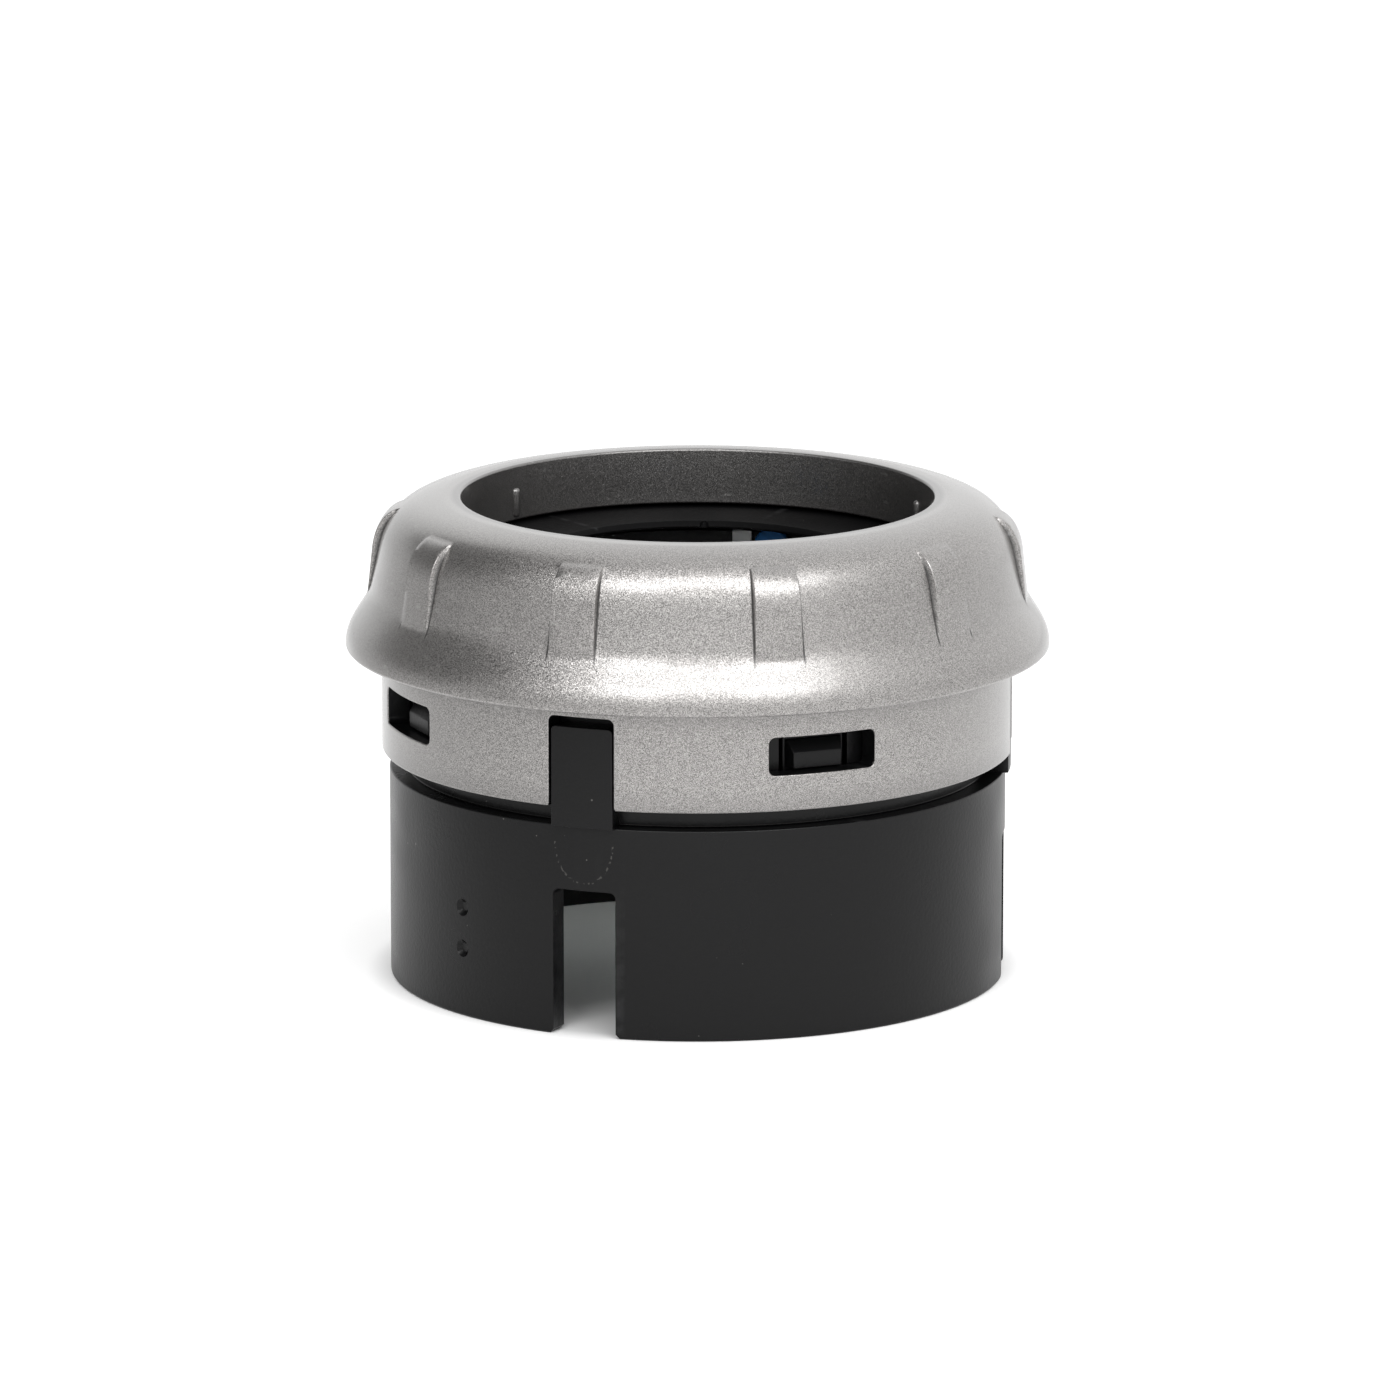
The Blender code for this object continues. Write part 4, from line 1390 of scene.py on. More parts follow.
@dataclass
class StandSleeve:
    """Black sleeve: skirt, neck, keys nearly flush with the cap's band, slots and doorways."""

    finish: bpy.types.Material
    meridians: int = 360
    skirt_radius: float = 30.5
    skirt_bore: float = 28.3
    skirt_top: float = 20.9
    ledge: float = 18.7
    neck_radius: float = 28.7
    neck_bore: float = 26.6
    neck_top: float = 45.35
    key_half: float = 3.15
    key_top: float = 30.8
    key_face: float = 31.05
    key_roll: float = 0.1
    key_sink: float = 0.05
    key_corner: float = 0.5
    edge_roll: float = 0.15
    key_azimuths: tuple[float, ...] = (0.8, 108.8, -107.2)
    slot_half: float = 3.24
    slot_top: float = 14.5
    slot_corner: float = 0.7
    slot_flare: float = 0.5
    slot_roll: float = 0.1
    door_half: float = 3.6
    door_span: Point = (23.1, 31.2)
    door_azimuths: tuple[float, ...] = (45.0, 135.0, -135.0, -45.0)
    dimple_azimuth: float = -26.7
    dimple_heights: Point = (6.8, 10.9)
    dimple_radius: float = 0.88
    dimple_floor: float = 0.44
    dimple_depth: float = 0.42
    boss_azimuths: tuple[float, ...] = (61.2, 181.2, 301.2)
    boss_circle: float = 26.75
    boss_radius: float = 1.45
    boss_span: Point = (18.95, 26.0)
    pilot_radius: float = 0.95

    def section(self) -> Outline:
        """Section of skirt and neck.

        Returns:
            Radius and height of its points.
        """
        return rounded(
            [
                Corner(self.neck_bore, self.neck_top, 0.2),
                Corner(self.neck_radius, self.neck_top, 0.4),
                Corner(self.neck_radius, self.skirt_top, 0.15),
                Corner(self.skirt_radius, self.skirt_top, self.edge_roll),
                Corner(self.skirt_radius, 0, 0.3),
                Corner(self.skirt_bore, 0, 0.3),
                Corner(self.skirt_bore, self.ledge, 0.3),
                Corner(self.neck_bore, self.ledge, 0.2),
            ]
        )

    def keys(self) -> list[Piece]:
        """Pads that stand out of the neck over the skirt's top, nearly flush with the cap's band.

        Returns:
            One pad for each key.
        """
        foot = self.skirt_top - self.key_sink
        outline = box_outline(self.key_half, foot, self.key_top, self.key_corner)
        root = self.neck_radius - CLEARANCE / 2
        strokes = [Stroke(self.key_face - self.key_roll - root)]
        strokes += rolled_edge(self.key_roll, Way.OUTWARDS)
        pad = push("key", outline, root, strokes, Way.OUTWARDS)
        return round_about(wrap(pad, self.skirt_radius), self.key_azimuths)

    def slots(self) -> list[Piece]:
        """Cutters of the skirt's slots, with flared feet and rolled mouths.

        Returns:
            One cutter for each slot.
        """
        half, top = self.slot_half + self.slot_roll, self.slot_top + self.slot_roll
        wide, low = half + self.slot_flare, -CLEARANCE
        corners = plain([(wide, low), (wide, 0), (half, self.slot_flare)])
        corners += [Corner(half, top, self.slot_corner), Corner(-half, top, self.slot_corner)]
        corners += plain([(-half, self.slot_flare), (-wide, 0), (-wide, low)])
        strokes = [Stroke(CLEARANCE), *rolled_edge(self.slot_roll, Way.INWARDS, 3)]
        strokes.append(Stroke(self.skirt_radius - self.skirt_bore + CLEARANCE))
        outline = rounded(corners, steps=6)
        cutter = push("slot", outline, self.skirt_radius + CLEARANCE, strokes)
        return round_about(wrap(cutter, self.skirt_radius), self.key_azimuths)

    def doorways(self) -> list[Piece]:
        """Cutters of the doorways that the snap arms stand in.

        Returns:
            One cutter for each arm.
        """
        outline = box_outline(self.door_half, *self.door_span, 0.4, 0.4)
        through = self.neck_radius - self.neck_bore + 2 * CLEARANCE
        cutter = push("doorway", outline, self.neck_radius + CLEARANCE, [Stroke(through)])
        return round_about(cutter, self.door_azimuths)

    def dimples(self) -> list[Piece]:
        """Cutters of the two round dots on the skirt.

        Returns:
            One cutter for each dot.
        """
        dots = []
        for height in self.dimple_heights:
            rim, floor = self.dimple_radius, self.dimple_floor
            corners = [Corner(0, 0), Corner(floor, 0, 0.3), Corner(rim, self.dimple_depth)]
            corners += [Corner(rim, CLEARANCE), Corner(0, CLEARANCE)]
            dot = point_outwards(turn("dot", rounded(corners), 32))
            shift(dot, self.skirt_radius - self.dimple_depth, height)
            dots.append(swing(dot, self.dimple_azimuth))
        return dots

    def posts(self, name: str, radius: float, span: Point) -> list[Piece]:
        """Round posts on the screws' circle.

        Args:
            name: Name of the posts.
            radius: Their radius.
            span: Heights of their ends.

        Returns:
            One post for each screw.
        """
        post = shift(rod(name, radius, span, 32), self.boss_circle, 0)
        return round_about(post, self.boss_azimuths)

    def build(self) -> Piece:
        """Model the sleeve and set it on the stand.

        Returns:
            The sleeve.
        """
        sleeve = turn("stand_sleeve_shell", self.section(), self.meridians)
        bosses = self.keys() + self.posts("boss", self.boss_radius, self.boss_span)
        combine(sleeve, Combine.JOIN, bosses)
        depth = (self.ledge - CLEARANCE, self.boss_span[1] - CLEARANCE)
        pilots = self.posts("pilot", self.pilot_radius, depth)
        combine(sleeve, Combine.CUT, self.slots() + self.doorways() + self.dimples() + pilots)
        self.dress(sleeve)
        seat(smooth(sleeve), Body.STAND.value, "stand_sleeve")
        return sleeve

    def dress(self, sleeve: Piece) -> None:
        """Give the sleeve its finish."""
        sleeve.data.materials.append(self.finish)


@dataclass
class SnapArm:
    """Sprung arm in the neck with a hook that holds the cap."""

    finish: bpy.types.Material
    azimuths: tuple[float, ...] = (45.0, 135.0, -135.0, -45.0)
    inner: float = 27.3
    outer: float = 28.4
    half: float = 3.25
    bottom: float = 23.5
    top: float = 30.7
    hook_root_half: float = 3.15
    hook_face_half: float = 2.5
    hook_face: float = 29.65
    hook_bottom: float = 26.55
    hook_edge: float = 28.1
    hook_top: float = 29.3
    hook_toe: float = 0.3
    edge_roll: float = 0.1

    def hook(self) -> Piece:
        """Hook with a sloped top, narrower at its face.

        Returns:
            The hook, at the front.
        """
        bpy.ops.object.select_all(action="DESELECT")
        bpy.ops.mesh.primitive_cube_add(size=MM)
        piece = bpy.context.object
        root = (self.inner + self.outer) / 2
        for vertex in piece.data.vertices:
            side = math.copysign(1, vertex.co.x)
            front, above = vertex.co.y < 0, vertex.co.z > 0
            half = self.hook_face_half if front else self.hook_root_half
            height = self.hook_bottom
            if above:
                height = self.hook_edge if front else self.hook_top
            reach = self.hook_face if front else root
            vertex.co = Vector((side * half, -reach, height)) * MM
        enter_edit(piece)

        pick_faces(piece, lambda middle, normal: normal.z > 0.5)
        toe = self.outer + self.hook_toe
        bpy.ops.mesh.bisect(plane_co=(0, -toe * MM, 0), plane_no=(0, 1, 0))
        for vertex in bmesh.from_edit_mesh(piece.data).verts:
            if abs(vertex.co.y / MM + toe) < SAME_PLACE and vertex.co.z / MM > self.hook_edge:
                vertex.co.z = self.hook_top * MM
        bmesh.update_edit_mesh(piece.data)
        bpy.ops.mesh.select_all(action="SELECT")
        bpy.ops.mesh.bevel(offset=self.edge_roll * MM, segments=3, affect="EDGES")
        leave_edit()
        return piece

    def build(self) -> list[Piece]:
        """Model one arm, copy it round and set each on its own body.

        Returns:
            The arms.
        """
        outline = box_outline(self.half - self.edge_roll, self.bottom, self.top, 0.5)
        strokes = [Stroke(self.outer - self.inner)]
        arm = push("snap_arm_tongue", outline, self.inner, strokes, Way.OUTWARDS)
        enter_edit(arm)
        bpy.ops.mesh.bevel(offset=self.edge_roll * MM, segments=2, affect="EDGES")
        leave_edit()
        combine(arm, Combine.JOIN, [self.hook()])
        self.dress(arm)
        smooth(arm)
        arms = round_about(arm, self.azimuths)
        for number, each in enumerate(arms, 1):
            seat(each, f"latch_{number}", f"snap_arm_{number}")
        return arms

    def dress(self, arm: Piece) -> None:
        """Give the arm its finish."""
        arm.data.materials.append(self.finish)


@dataclass
class FocusDial:
    """Turned dial: aperture plate on a drum with helical slots."""

    finish: bpy.types.Material
    meridians: int = 240
    aperture: float = 15.5
    chamfer: float = 0.45
    plate_radius: float = 26.2
    plate_span: Point = (41.3, 42.0)
    drum_radius: float = 24.7
    drum_bore: float = 23.4
    drum_bottom: float = 18.8
    notch_azimuths: tuple[float, ...] = (199.6, 319.6, 79.6)
    notch_radius: float = 0.45
    cam_azimuths: tuple[float, ...] = (179.7, 299.7, 59.7)
    cam_top: float = 38.9
    cam_width: float = 2.9
    cam_sweep: float = 75.0
    cam_rise: float = 3.75

    def section(self) -> Outline:
        """Section of plate and drum.

        Returns:
            Radius and height of its points.
        """
        low, high = self.plate_span
        return rounded(
            [
                Corner(self.aperture, low, 0.15),
                Corner(self.aperture, high - self.chamfer, 0.1),
                Corner(self.aperture + self.chamfer, high, 0.1),
                Corner(self.plate_radius, high, 0.25),
                Corner(self.plate_radius, low, 0.2),
                Corner(self.drum_radius, low, 0.2),
                Corner(self.drum_radius, self.drum_bottom, 0.15),
                Corner(self.drum_bore, self.drum_bottom, 0.15),
                Corner(self.drum_bore, low, 0.3),
            ],
            steps=3,
        )

    def notches(self) -> list[Piece]:
        """Cutters of the index notches in the aperture's edge.

        Returns:
            One cutter for each notch.
        """
        low, high = self.plate_span
        notch = rod("index_notch", self.notch_radius, (low - CLEARANCE, high + CLEARANCE), 40)
        return round_about(shift(notch, self.aperture, 0), self.notch_azimuths)

    def cams(self) -> list[Piece]:
        """Cutters of the helical slots, drawn flat as long slanted slots and wrapped round the drum.

        Returns:
            One cutter for each slot.
        """
        middle = (self.drum_radius + self.drum_bore) / 2
        length = math.radians(self.cam_sweep) * middle
        slope = math.degrees(math.atan2(self.cam_rise, length))
        half = self.cam_width / 2
        low, high = (-length, self.cam_top - self.cam_rise), (0.0, self.cam_top)
        right = arc(high, half, slope - 90, slope + 90, 12)
        left = arc(low, half, slope + 90, slope + 270, 12)
        outline = right + left
        through = self.drum_radius - self.drum_bore + 2 * CLEARANCE
        cutter = push("cam", outline, self.drum_radius + CLEARANCE, [Stroke(through)])
        return round_about(wrap(cutter, middle), self.cam_azimuths)

    def build(self) -> Piece:
        """Model the dial and set it on its body.

        Returns:
            The dial.
        """
        dial = turn("focus_dial_shell", self.section(), self.meridians)
        combine(dial, Combine.CUT, self.notches() + self.cams())
        self.dress(dial)
        seat(smooth(dial), Body.DIAL.value, "focus_dial")
        return dial

    def dress(self, dial: Piece) -> None:
        """Give the dial its finish."""
        dial.data.materials.append(self.finish)


@dataclass(frozen=True)
class StudPlace:
    """Where one guide stud sits in the cell's wall."""

    azimuth: float
    height: float


STATIONS = (0.0, 120.0, 240.0)
PAIR_ANGLE = 15.0
PAIR_DROP = 0.75
UPPER_STUD = StudPlace(179.7, 38.9)
CLIP_AZIMUTH = 189.0


def stud_places() -> list[StudPlace]:
    """Places of the six studs, a pair at each station, in the order of their nodes.

    Returns:
        The places.
    """
    places = []
    for station in STATIONS:
        upper = StudPlace(UPPER_STUD.azimuth + station, UPPER_STUD.height)
        places += [upper, StudPlace(upper.azimuth - PAIR_ANGLE, upper.height - PAIR_DROP)]
    return places


@dataclass
class LensCell:
    """Turned lens cell under an open cup, with stud holes, clip seats and prong grooves."""

    finish: bpy.types.Material
    meridians: int = 240
    radius: float = 23.1
    cup_bore: float = 20.4
    cup_floor: float = 35.0
    barrel_bore: float = 18.4
    seat_bore: float = 16.8
    seat_height: float = 23.3
    bottom: float = 22.0
    top: float = 40.2
    hole_radius: float = 1.4
    clip_seat: float = 22.2
    clip_half: float = 1.4
    clip_bottom: float = 36.6
    groove_floor: float = 20.5
    groove_half: float = 3.25
    groove_top: float = 33.4

    def section(self) -> Outline:
        """Section of barrel and cup.

        Returns:
            Radius and height of its points.
        """
        return rounded(
            [
                Corner(self.cup_bore, self.top, 0.2),
                Corner(self.radius, self.top, 0.2),
                Corner(self.radius, self.bottom, 0.2),
                Corner(self.seat_bore, self.bottom, 0.2),
                Corner(self.seat_bore, self.seat_height, 0.1),
                Corner(self.barrel_bore, self.seat_height, 0.1),
                Corner(self.barrel_bore, self.cup_floor, 0.2),
                Corner(self.cup_bore, self.cup_floor, 0.25),
            ],
            steps=3,
        )

    def cutters(self) -> list[Piece]:
        """Tools of the stud holes, the clip seats and the prong grooves.

        Returns:
            All the cutters.
        """
        inner, outer = self.cup_bore - CLEARANCE, self.radius + CLEARANCE
        tools = []
        for place in stud_places():
            hole = rod("stud_hole", self.hole_radius, (inner, outer), 40)
            tools.append(swing(shift(point_outwards(hole), 0, place.height), place.azimuth))
        clip = box_outline(self.clip_half, self.clip_bottom, self.top + CLEARANCE, 0, 0.3)
        seats = push("clip_seat", clip, outer, [Stroke(outer - self.clip_seat)])
        tools += round_about(seats, [CLIP_AZIMUTH + station for station in STATIONS])
        groove = box_outline(self.groove_half, self.bottom - CLEARANCE, self.groove_top, 1.2)
        grooves = push("prong_groove", groove, outer, [Stroke(outer - self.groove_floor)])
        return tools + round_about(grooves, STATIONS)

    def build(self) -> Piece:
        """Model the cell and set it on its body.

        Returns:
            The cell.
        """
        cell = turn("lens_cell_shell", self.section(), self.meridians)
        combine(cell, Combine.CUT, self.cutters())
        self.dress(cell)
        seat(smooth(cell), Body.CELL.value, "lens_cell")
        return cell

    def dress(self, cell: Piece) -> None:
        """Give the cell its finish."""
        cell.data.materials.append(self.finish)


@dataclass
class Optics:
    """Two flat-backed lenses, their spacer and the slotted retainer."""

    glass: bpy.types.Material
    black: bpy.types.Material
    meridians: int = 160
    radius: float = 18.0
    sag: float = 3.6
    ring_roll: float = 0.12
    field_back: float = 23.6
    field_rim: float = 24.7
    eye_rim: float = 32.3
    eye_back: float = 33.4
    edge: float = 0.12
    rings: int = 40
    spacer_bore: float = 16.6
    spacer_span: Point = (25.55, 31.45)
    retainer_bore: float = 16.2
    retainer_span: Point = (33.7, 34.8)
    slot_half: float = 0.8
    slot_depth: float = 0.6
    slot_azimuths: tuple[float, ...] = (90.0, 270.0)

    def curve(self) -> Outline:
        """Radius and height over the rim of the curved side, from the middle out.

        Returns:
            Its points.
        """
        sphere = (self.radius**2 + self.sag**2) / (2 * self.sag)
        radii = [(self.radius - self.edge) * i / self.rings for i in range(self.rings + 1)]
        return [(r, math.sqrt(sphere**2 - r * r) - (sphere - self.sag)) for r in radii]

    def lens(self, name: str, rim: float, back: float) -> Piece:
        """One lens, curved on the side of its rim that faces away from its back.

        Args:
            name: Name of the lens.
            rim: Height at which the curved side meets the edge.
            back: Height of the flat side.

        Returns:
            The lens.
        """
        upwards = math.copysign(1, rim - back)
        bulge = [(r, rim + upwards * height) for r, height in self.curve()]
        side = [(self.radius, rim), (self.radius, back + upwards * self.edge)]
        flat = [(self.radius - self.edge, back), (0.0, back)]
        return turn(name, [*bulge, *side, *flat], self.meridians)

    def ring(self, name: str, bore: float, span: Point) -> Piece:
        """A turned ring with slightly rounded edges.

        Args:
            name: Name of the ring.
            bore: Radius of its hole.
            span: Heights of its two faces.

        Returns:
            The ring.
        """
        low, high = span
        ends = [(bore, high), (self.radius, high), (self.radius, low), (bore, low)]
        corners = [Corner(*end, self.ring_roll) for end in ends]
        return turn(name, rounded(corners, steps=3), self.meridians)

    def build(self) -> list[Piece]:
        """Model the lenses, the spacer and the retainer, and set them on the cell.

        Returns:
            The four pieces.
        """
        field_lens = self.lens("field_lens_disc", self.field_rim, self.field_back)
        eye_lens = self.lens("eye_lens_disc", self.eye_rim, self.eye_back)
        spacer = self.ring("spacer_ring", self.spacer_bore, self.spacer_span)
        retainer = self.ring("retainer_ring", self.retainer_bore, self.retainer_span)
        top = self.retainer_span[1]
        outline = box_outline(self.slot_half, top - self.slot_depth, top + CLEARANCE, 0, 0.15)
        through = self.radius - self.retainer_bore + 2 * CLEARANCE
        slot = push("spanner_slot", outline, self.radius + CLEARANCE, [Stroke(through)])
        combine(retainer, Combine.CUT, round_about(slot, self.slot_azimuths))
        pieces = {"field_lens": field_lens, "eye_lens": eye_lens}
        pieces |= {"lens_spacer": spacer, "lens_retainer": retainer}
        for node, piece in pieces.items():
            self.dress(piece, node)
            seat(smooth(piece), Body.CELL.value, node)
        return list(pieces.values())

    def dress(self, piece: Piece, node: str) -> None:
        """Give a piece glass or black, by the node that it stands for."""
        piece.data.materials.append(self.glass if node.endswith("_lens") else self.black)


@dataclass
class GuideStud:
    """Blue round-headed stud that runs in a slot of the drum."""

    finish: bpy.types.Material
    head_radius: float = 1.9
    head_face: float = 19.4
    head_back: float = 20.1
    shank_radius: float = 1.1
    end: float = 24.5

    def build(self) -> list[Piece]:
        """Model one stud and set a copy at each place in the cell's wall.

        Returns:
            The studs.
        """
        corners = [
            Corner(0, self.end),
            Corner(self.shank_radius, self.end, 0.2),
            Corner(self.shank_radius, self.head_back),
            Corner(self.head_radius, self.head_back, 0.15),
            Corner(self.head_radius, self.head_face, 0.28),
            Corner(0, self.head_face),
        ]
        stud = smooth(point_outwards(turn("guide_stud_turned", rounded(corners, steps=5), 48)))
        self.dress(stud)
        places = stud_places()
        studs = round_about(stud, [place.azimuth for place in places])
        for number, (each, place) in enumerate(zip(studs, places), 1):
            shift(each, 0, place.height)
            seat(each, Body.CELL.value, f"guide_stud_{number}")
        return studs

    def dress(self, stud: Piece) -> None:
        """Give the stud its finish."""
        stud.data.materials.append(self.finish)


@dataclass
class DragClip:
    """Bent steel strip that straddles the cell's rim."""

    finish: bpy.types.Material
    inner: float = 19.75
    outer: float = 22.85
    top: float = 40.85
    inner_end: float = 36.8
    outer_end: float = 37.5
    bend: float = 0.8
    steel: float = 0.35
    width: float = 2.0
    edge_roll: float = 0.06

    def outline(self) -> Outline:
        """Side view of the strip, as distance from the axis and height.

        Returns:
            Its outline.
        """
        middle, tight = self.top - self.bend, self.bend - self.steel
        left, right = self.inner + self.bend, self.outer - self.bend
        over = [(self.inner, self.inner_end)]
        over += arc((left, middle), self.bend, 180, 90, 10) + arc((right, middle), self.bend, 90, 0, 10)
        under = [(self.outer, self.outer_end), (self.outer - self.steel, self.outer_end)]
        under += arc((right, middle), tight, 0, 90, 10) + arc((left, middle), tight, 90, 180, 10)
        return [*over, *under, (self.inner + self.steel, self.inner_end)][::-1]

    def build(self) -> list[Piece]:
        """Model one clip and set a copy beside each pair of studs.

        Returns:
            The clips.
        """
        clip = push("drag_clip_strip", self.outline(), self.width / 2, [Stroke(self.width)])
        swing(clip, -90)
        enter_edit(clip)
        pick_edges(clip, lambda first, last: abs(first.x - last.x) < SAME_PLACE)
        bpy.ops.mesh.bevel(offset=self.edge_roll * MM, segments=2, affect="EDGES")
        leave_edit()
        self.dress(smooth(clip))
        clips = round_about(clip, [CLIP_AZIMUTH + station for station in STATIONS])
        for number, each in enumerate(clips, 1):
            seat(each, Body.CELL.value, f"drag_clip_{number}")
        return clips

    def dress(self, clip: Piece) -> None:
        """Give the clip its finish."""
        clip.data.materials.append(self.finish)


@dataclass
class GuideRing:
    """Flange under the neck with prongs that keep the cell from turning, and its screws."""

    finish: bpy.types.Material
    steel: bpy.types.Material
    meridians: int = 200
    bore: float = 20.6
    radius: float = 28.0
    span: Point = (16.9, 18.4)
    prong_inner: float = 20.9
    prong_outer: float = 22.7
    prong_half: float = 2.9
    prong_top: float = 30.0
    screw_azimuths: tuple[float, ...] = (61.2, 181.2, 301.2)
    screw_circle: float = 26.75
    hole_radius: float = 0.95
    head_radius: float = 1.25
    head_span: Point = (15.6, 16.6)
    shank_radius: float = 0.65
    tip: float = 23.0
    cross_half: float = 0.17
    cross_reach: float = 0.75
    cross_depth: float = 0.5

    def screw(self) -> Piece:
        """One pan-head screw with a cross recess, head down.

        Returns:
            The screw, at the front.
        """
        low, high = self.head_span
        corners = [
            Corner(0, self.tip),
            Corner(self.shank_radius / 2, self.tip),
            Corner(self.shank_radius, self.tip - 0.6),
            Corner(self.shank_radius, high),
            Corner(self.head_radius, high, 0.1),
            Corner(self.head_radius, low, 0.4),
            Corner(0, low),
        ]
        screw = turn("screw_turned", rounded(corners, steps=5), 48)
        bars = []
        for angle in (0.0, 90.0):
            outline = box_outline(self.cross_half, low - CLEARANCE, low + self.cross_depth, 0.05)
            bar = push("cross", outline, self.cross_reach, [Stroke(2 * self.cross_reach)])
            bars.append(swing(bar, angle))
        for bar in bars:
            combine(screw, Combine.CUT, [bar])
        return shift(smooth(screw), self.screw_circle, 0)

    def ring(self) -> Piece:
        """The flange with its prongs and screw holes.

        Returns:
            The ring.
        """
        low, high = self.span
        corners = [Corner(self.bore, high, 0.15), Corner(self.radius, high, 0.2)]
        corners += [Corner(self.radius, low, 0.2), Corner(self.bore, low, 0.25)]
        ring = turn("guide_ring_flange", rounded(corners, steps=3), self.meridians)
        outline = box_outline(self.prong_half, (low + high) / 2, self.prong_top, 1.2)
        prong = push("prong", outline, self.prong_outer, [Stroke(self.prong_outer - self.prong_inner)])
        combine(ring, Combine.JOIN, round_about(prong, STATIONS))
        hole = rod("screw_hole", self.hole_radius, (low - CLEARANCE, high + CLEARANCE), 32)
        shift(hole, self.screw_circle, 0)
        combine(ring, Combine.CUT, round_about(hole, self.screw_azimuths))
        return smooth(ring)

    def build(self) -> list[Piece]:
        """Model the ring and its screws and set them on the stand.

        Returns:
            The ring and its screws.
        """
        ring = self.ring()
        screws = round_about(self.screw(), self.screw_azimuths)
        self.dress(ring, screws)
        seat(ring, Body.STAND.value, "guide_ring")
        for number, each in enumerate(screws, 1):
            seat(each, Body.STAND.value, f"guide_ring_screw_{number}")
        return [ring, *screws]

    def dress(self, ring: Piece, screws: Sequence[Piece]) -> None:
        """Give the ring and the screws their finishes.

        Args:
            ring: The ring.
            screws: Its screws.
        """
        ring.data.materials.append(self.finish)
        for each in screws:
            each.data.materials.append(self.steel)


@dataclass(frozen=True)
class Lamp:
    """A soft light: its place as seen from the camera's side, its size and its power."""

    name: str
    azimuth: float
    elevation: float
    size: Point
    power: float


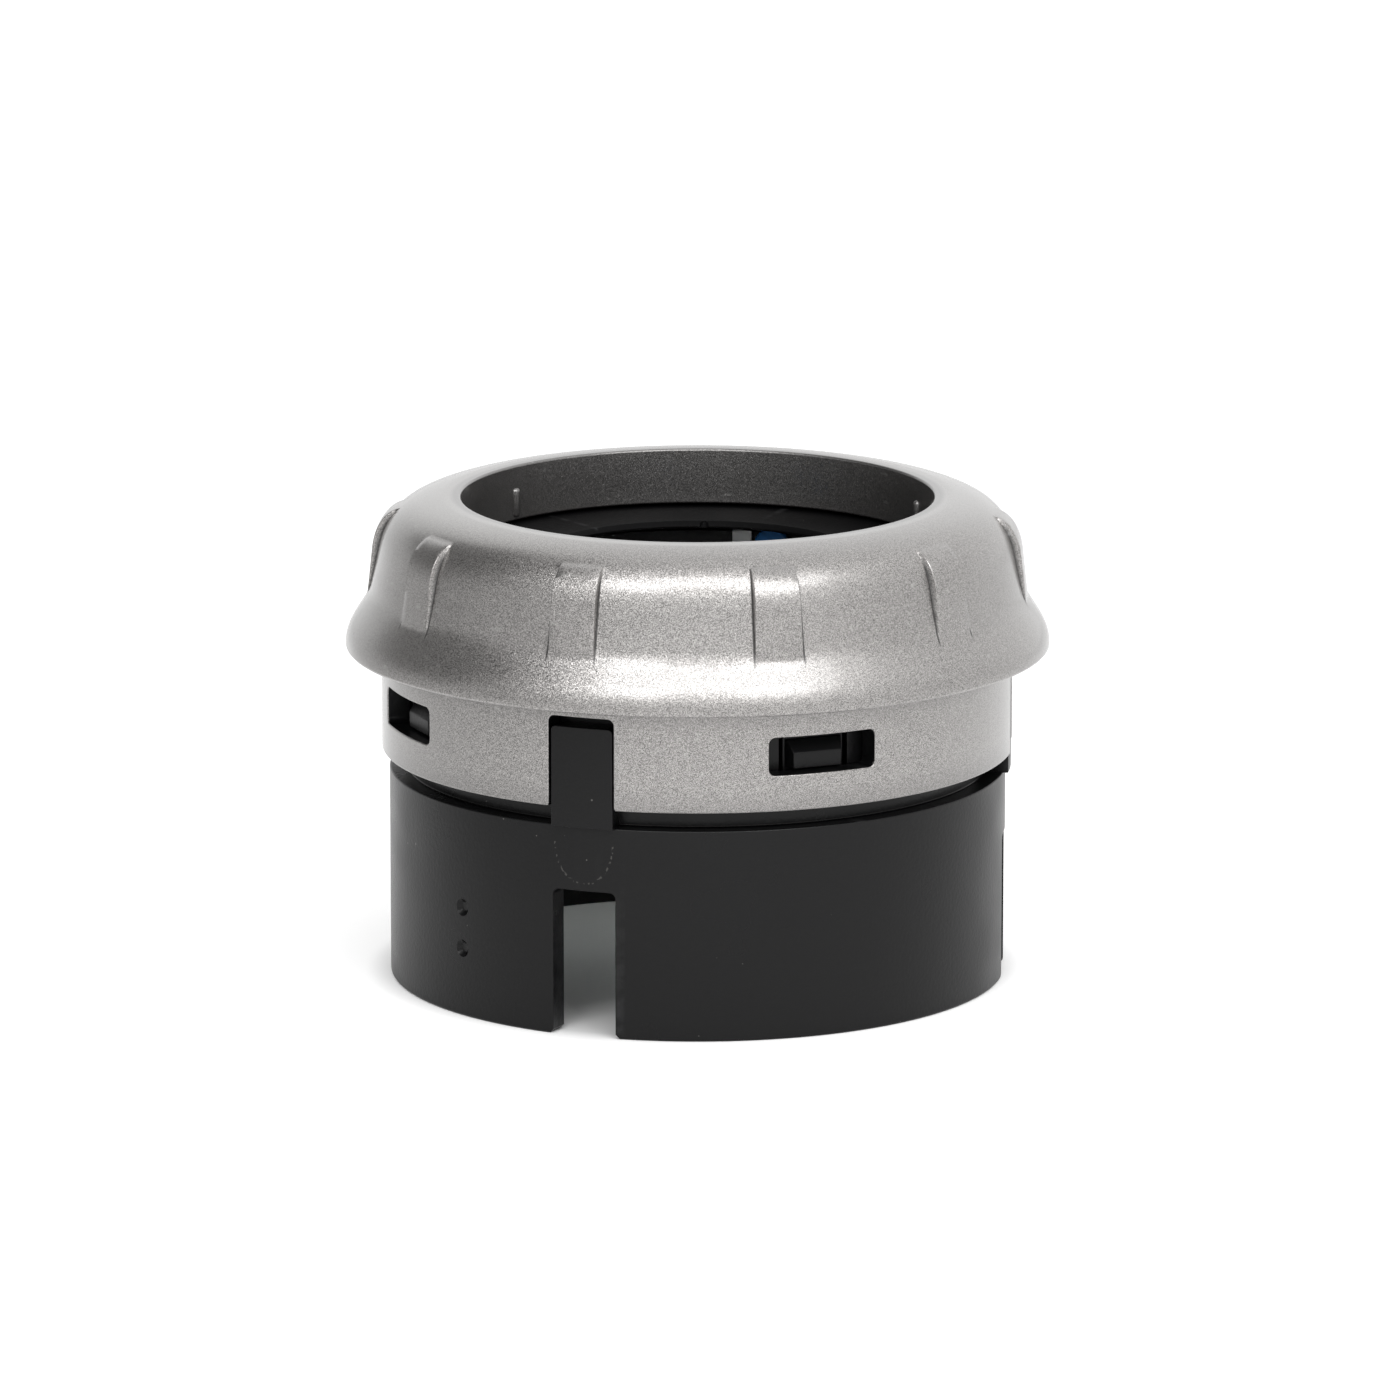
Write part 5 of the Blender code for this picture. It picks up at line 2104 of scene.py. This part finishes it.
@dataclass
class Studio:
    """White table, soft lights and the camera."""

    distance: float = 1000.0
    elevation: float = 12.5
    azimuth: float = 22.0
    lens: float = 259.7
    sensor: float = 36.0
    clip: Point = (0.05, 20.0)
    target_height: float = 27.12
    target_right: float = 0.24
    floor_half: float = 3.0
    floor_tone: Colour = (0.78, 0.78, 0.78, 1)
    # Floor colour far out at the left, as painted shade.
    floor_dim: Colour = (0.4, 0.4, 0.4, 1)
    floor_glow: float = 0.45
    mirrored_glow: float = 0.4
    glow_span: Point = (28.5, 33.0)
    dim_span: Point = (85.0, 200.0)
    dim_sector: Point = (0.5, 0.95)
    room_dim: float = 0.6
    room_bright: float = 1.0
    room_right: float = 0.32
    room_span: Point = (0.45, 1.2)
    flag_azimuth: float = -110.0
    flag_elevation: float = 38.0
    flag_span: Point = (0.79, 0.92)
    flag_dim: float = 0.14
    lamp_distance: float = 520.0
    lamps: tuple[Lamp, ...] = (
        Lamp("softbox", 10.0, 54.0, (620.0, 220.0), 1.35),
        Lamp("left_light", -25.0, 39.0, (180.0, 140.0), 0.3),
        Lamp("right_light", 28.0, 39.0, (180.0, 140.0), 0.3),
    )

    def towards(self, azimuth: float, elevation: float) -> Vector:
        """Direction from the object at an azimuth and elevation, in degrees."""
        turned, up = math.radians(azimuth), math.radians(elevation)
        return Vector((math.sin(turned) * math.cos(up), -math.cos(turned) * math.cos(up), math.sin(up)))

    def camera(self) -> None:
        """Stand the camera where the photograph was taken from."""
        data = bpy.data.cameras.new("photo_camera")
        data.lens = self.lens
        data.sensor_width = self.sensor
        data.clip_start, data.clip_end = self.clip
        camera = bpy.data.objects.new("photo_camera", data)
        bpy.context.scene.collection.objects.link(camera)
        back = self.towards(self.azimuth, self.elevation)
        camera.rotation_euler = back.to_track_quat("Z", "Y").to_euler()
        sideways = self.towards(self.azimuth + 90, 0) * self.target_right
        camera.location = (Vector((0, 0, self.target_height)) + sideways + back * self.distance) * MM
        bpy.context.scene.camera = camera

    def hang(self, lamp: Lamp) -> None:
        """Hang a soft light in front, facing the object.

        Args:
            lamp: The light.
        """
        data = bpy.data.lights.new(lamp.name, "AREA")
        data.shape = "RECTANGLE"
        data.size, data.size_y = (side * MM for side in lamp.size)
        data.energy = lamp.power
        light = bpy.data.objects.new(lamp.name, data)
        bpy.context.scene.collection.objects.link(light)
        back = self.towards(self.azimuth + lamp.azimuth, lamp.elevation)
        light.location = (back * self.lamp_distance + Vector((0, 0, self.target_height))) * MM
        light.rotation_euler = back.to_track_quat("Z", "Y").to_euler()

    def floor(self) -> None:
        """Lay the table: white round the object, with its shadow, and darker in colour far out at the
        left, as painted shade.
        """
        bpy.ops.object.select_all(action="DESELECT")
        bpy.ops.mesh.primitive_plane_add(size=2 * self.floor_half)
        table = bpy.context.object
        table.name = "table"
        material, wiring, shader = new_finish("table_white")
        set_plain(shader, roughness=0.9, specular_ior_level=0.0)
        place = wiring.place()
        left = tuple(self.towards(self.azimuth - 90, 0))
        facing = wiring.measure("DOT_PRODUCT", wiring.vector("NORMALIZE", place), left)
        reach = wiring.measure("LENGTH", place)
        far = wiring.ramp(reach, *(edge * MM for edge in self.dim_span))
        dim = wiring.sums("MULTIPLY", far, wiring.ramp(facing, *self.dim_sector))
        # Painted shade: the floor's colour darkens far out at the left.
        wiring.feed(shader.inputs["Base Color"], wiring.blend(dim, self.floor_tone, self.floor_dim))
        around = wiring.ramp(reach, *(edge * MM for edge in self.glow_span))
        path = wiring.add("ShaderNodeLightPath")
        glossy, through = path.outputs["Is Glossy Ray"], path.outputs["Is Transmission Ray"]
        mirrored = wiring.product(wiring.sums("MAXIMUM", glossy, through), self.mirrored_glow)
        seen = wiring.sums("MAXIMUM", path.outputs["Is Camera Ray"], mirrored)
        glow = wiring.product(seen, around, self.floor_glow)
        wiring.feed(shader.inputs["Emission Strength"], glow)
        table.data.materials.append(material)

    def world(self) -> None:
        """Light the room softly: dim at the left, with a dark flag hung above there."""
        world = bpy.data.worlds.new("studio")
        bpy.context.scene.world = world
        world.use_nodes = True
        wiring = Wiring(world.node_tree)
        direction = wiring.add("ShaderNodeTexCoord").outputs["Generated"]
        right = tuple(self.towards(self.azimuth + 90, 0))
        facing = wiring.measure("DOT_PRODUCT", direction, right)
        aside = wiring.sums("ABSOLUTE", wiring.sums("SUBTRACT", facing, self.room_right))
        level = wiring.ramp(aside, *self.room_span, self.room_bright, self.room_dim)
        flag = tuple(self.towards(self.azimuth + self.flag_azimuth, self.flag_elevation))
        near = wiring.measure("DOT_PRODUCT", direction, flag)
        level = wiring.product(level, wiring.ramp(near, *self.flag_span, 1.0, self.flag_dim))
        path = wiring.add("ShaderNodeLightPath")
        strength = wiring.sums("MAXIMUM", level, path.outputs["Is Camera Ray"])
        background = world.node_tree.nodes["Background"]
        background.inputs["Color"].default_value = (1, 1, 1, 1)
        wiring.feed(background.inputs["Strength"], strength)

    def build(self) -> None:
        """Set up floor, lights and camera."""
        self.floor()
        self.world()
        for lamp in self.lamps:
            self.hang(lamp)
        self.camera()
        bpy.context.scene.view_settings.view_transform = "Standard"


def main() -> None:
    """Build and dress every piece, set up the studio and note the sizes."""
    logging.basicConfig(level=logging.INFO, format="%(message)s")
    log.info("%d CAD nodes", len(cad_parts))
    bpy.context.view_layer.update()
    black = BlackMoulding().make()
    # The dial and the guide ring get a stronger painted highlight along their edges.
    matt = {"roughness": 0.5, "specular": 0.06, "grain": 0.00004, "edge_highlight": 0.7}
    dial_black = BlackMoulding("dial_black_matt", (0.0022, 0.0022, 0.0024, 1), **matt).make()
    cell_black = CellBlack().make()
    GripCap(SilverPaint().make(), black).build()
    StandSleeve(black).build()
    SnapArm(black).build()
    FocusDial(dial_black).build()
    LensCell(cell_black).build()
    Optics(LensGlass().make(), cell_black).build()
    GuideStud(BlueMoulding().make()).build()
    spring = Steel("spring_steel_bright", (0.6, 0.6, 0.6, 1), roughness=0.22)
    DragClip(spring.make()).build()
    plated = Steel("screw_steel_plated", (0.35, 0.35, 0.36, 1), roughness=0.3)
    GuideRing(dial_black, plated.make()).build()
    Studio().build()


if __name__ == "__main__":
    main()
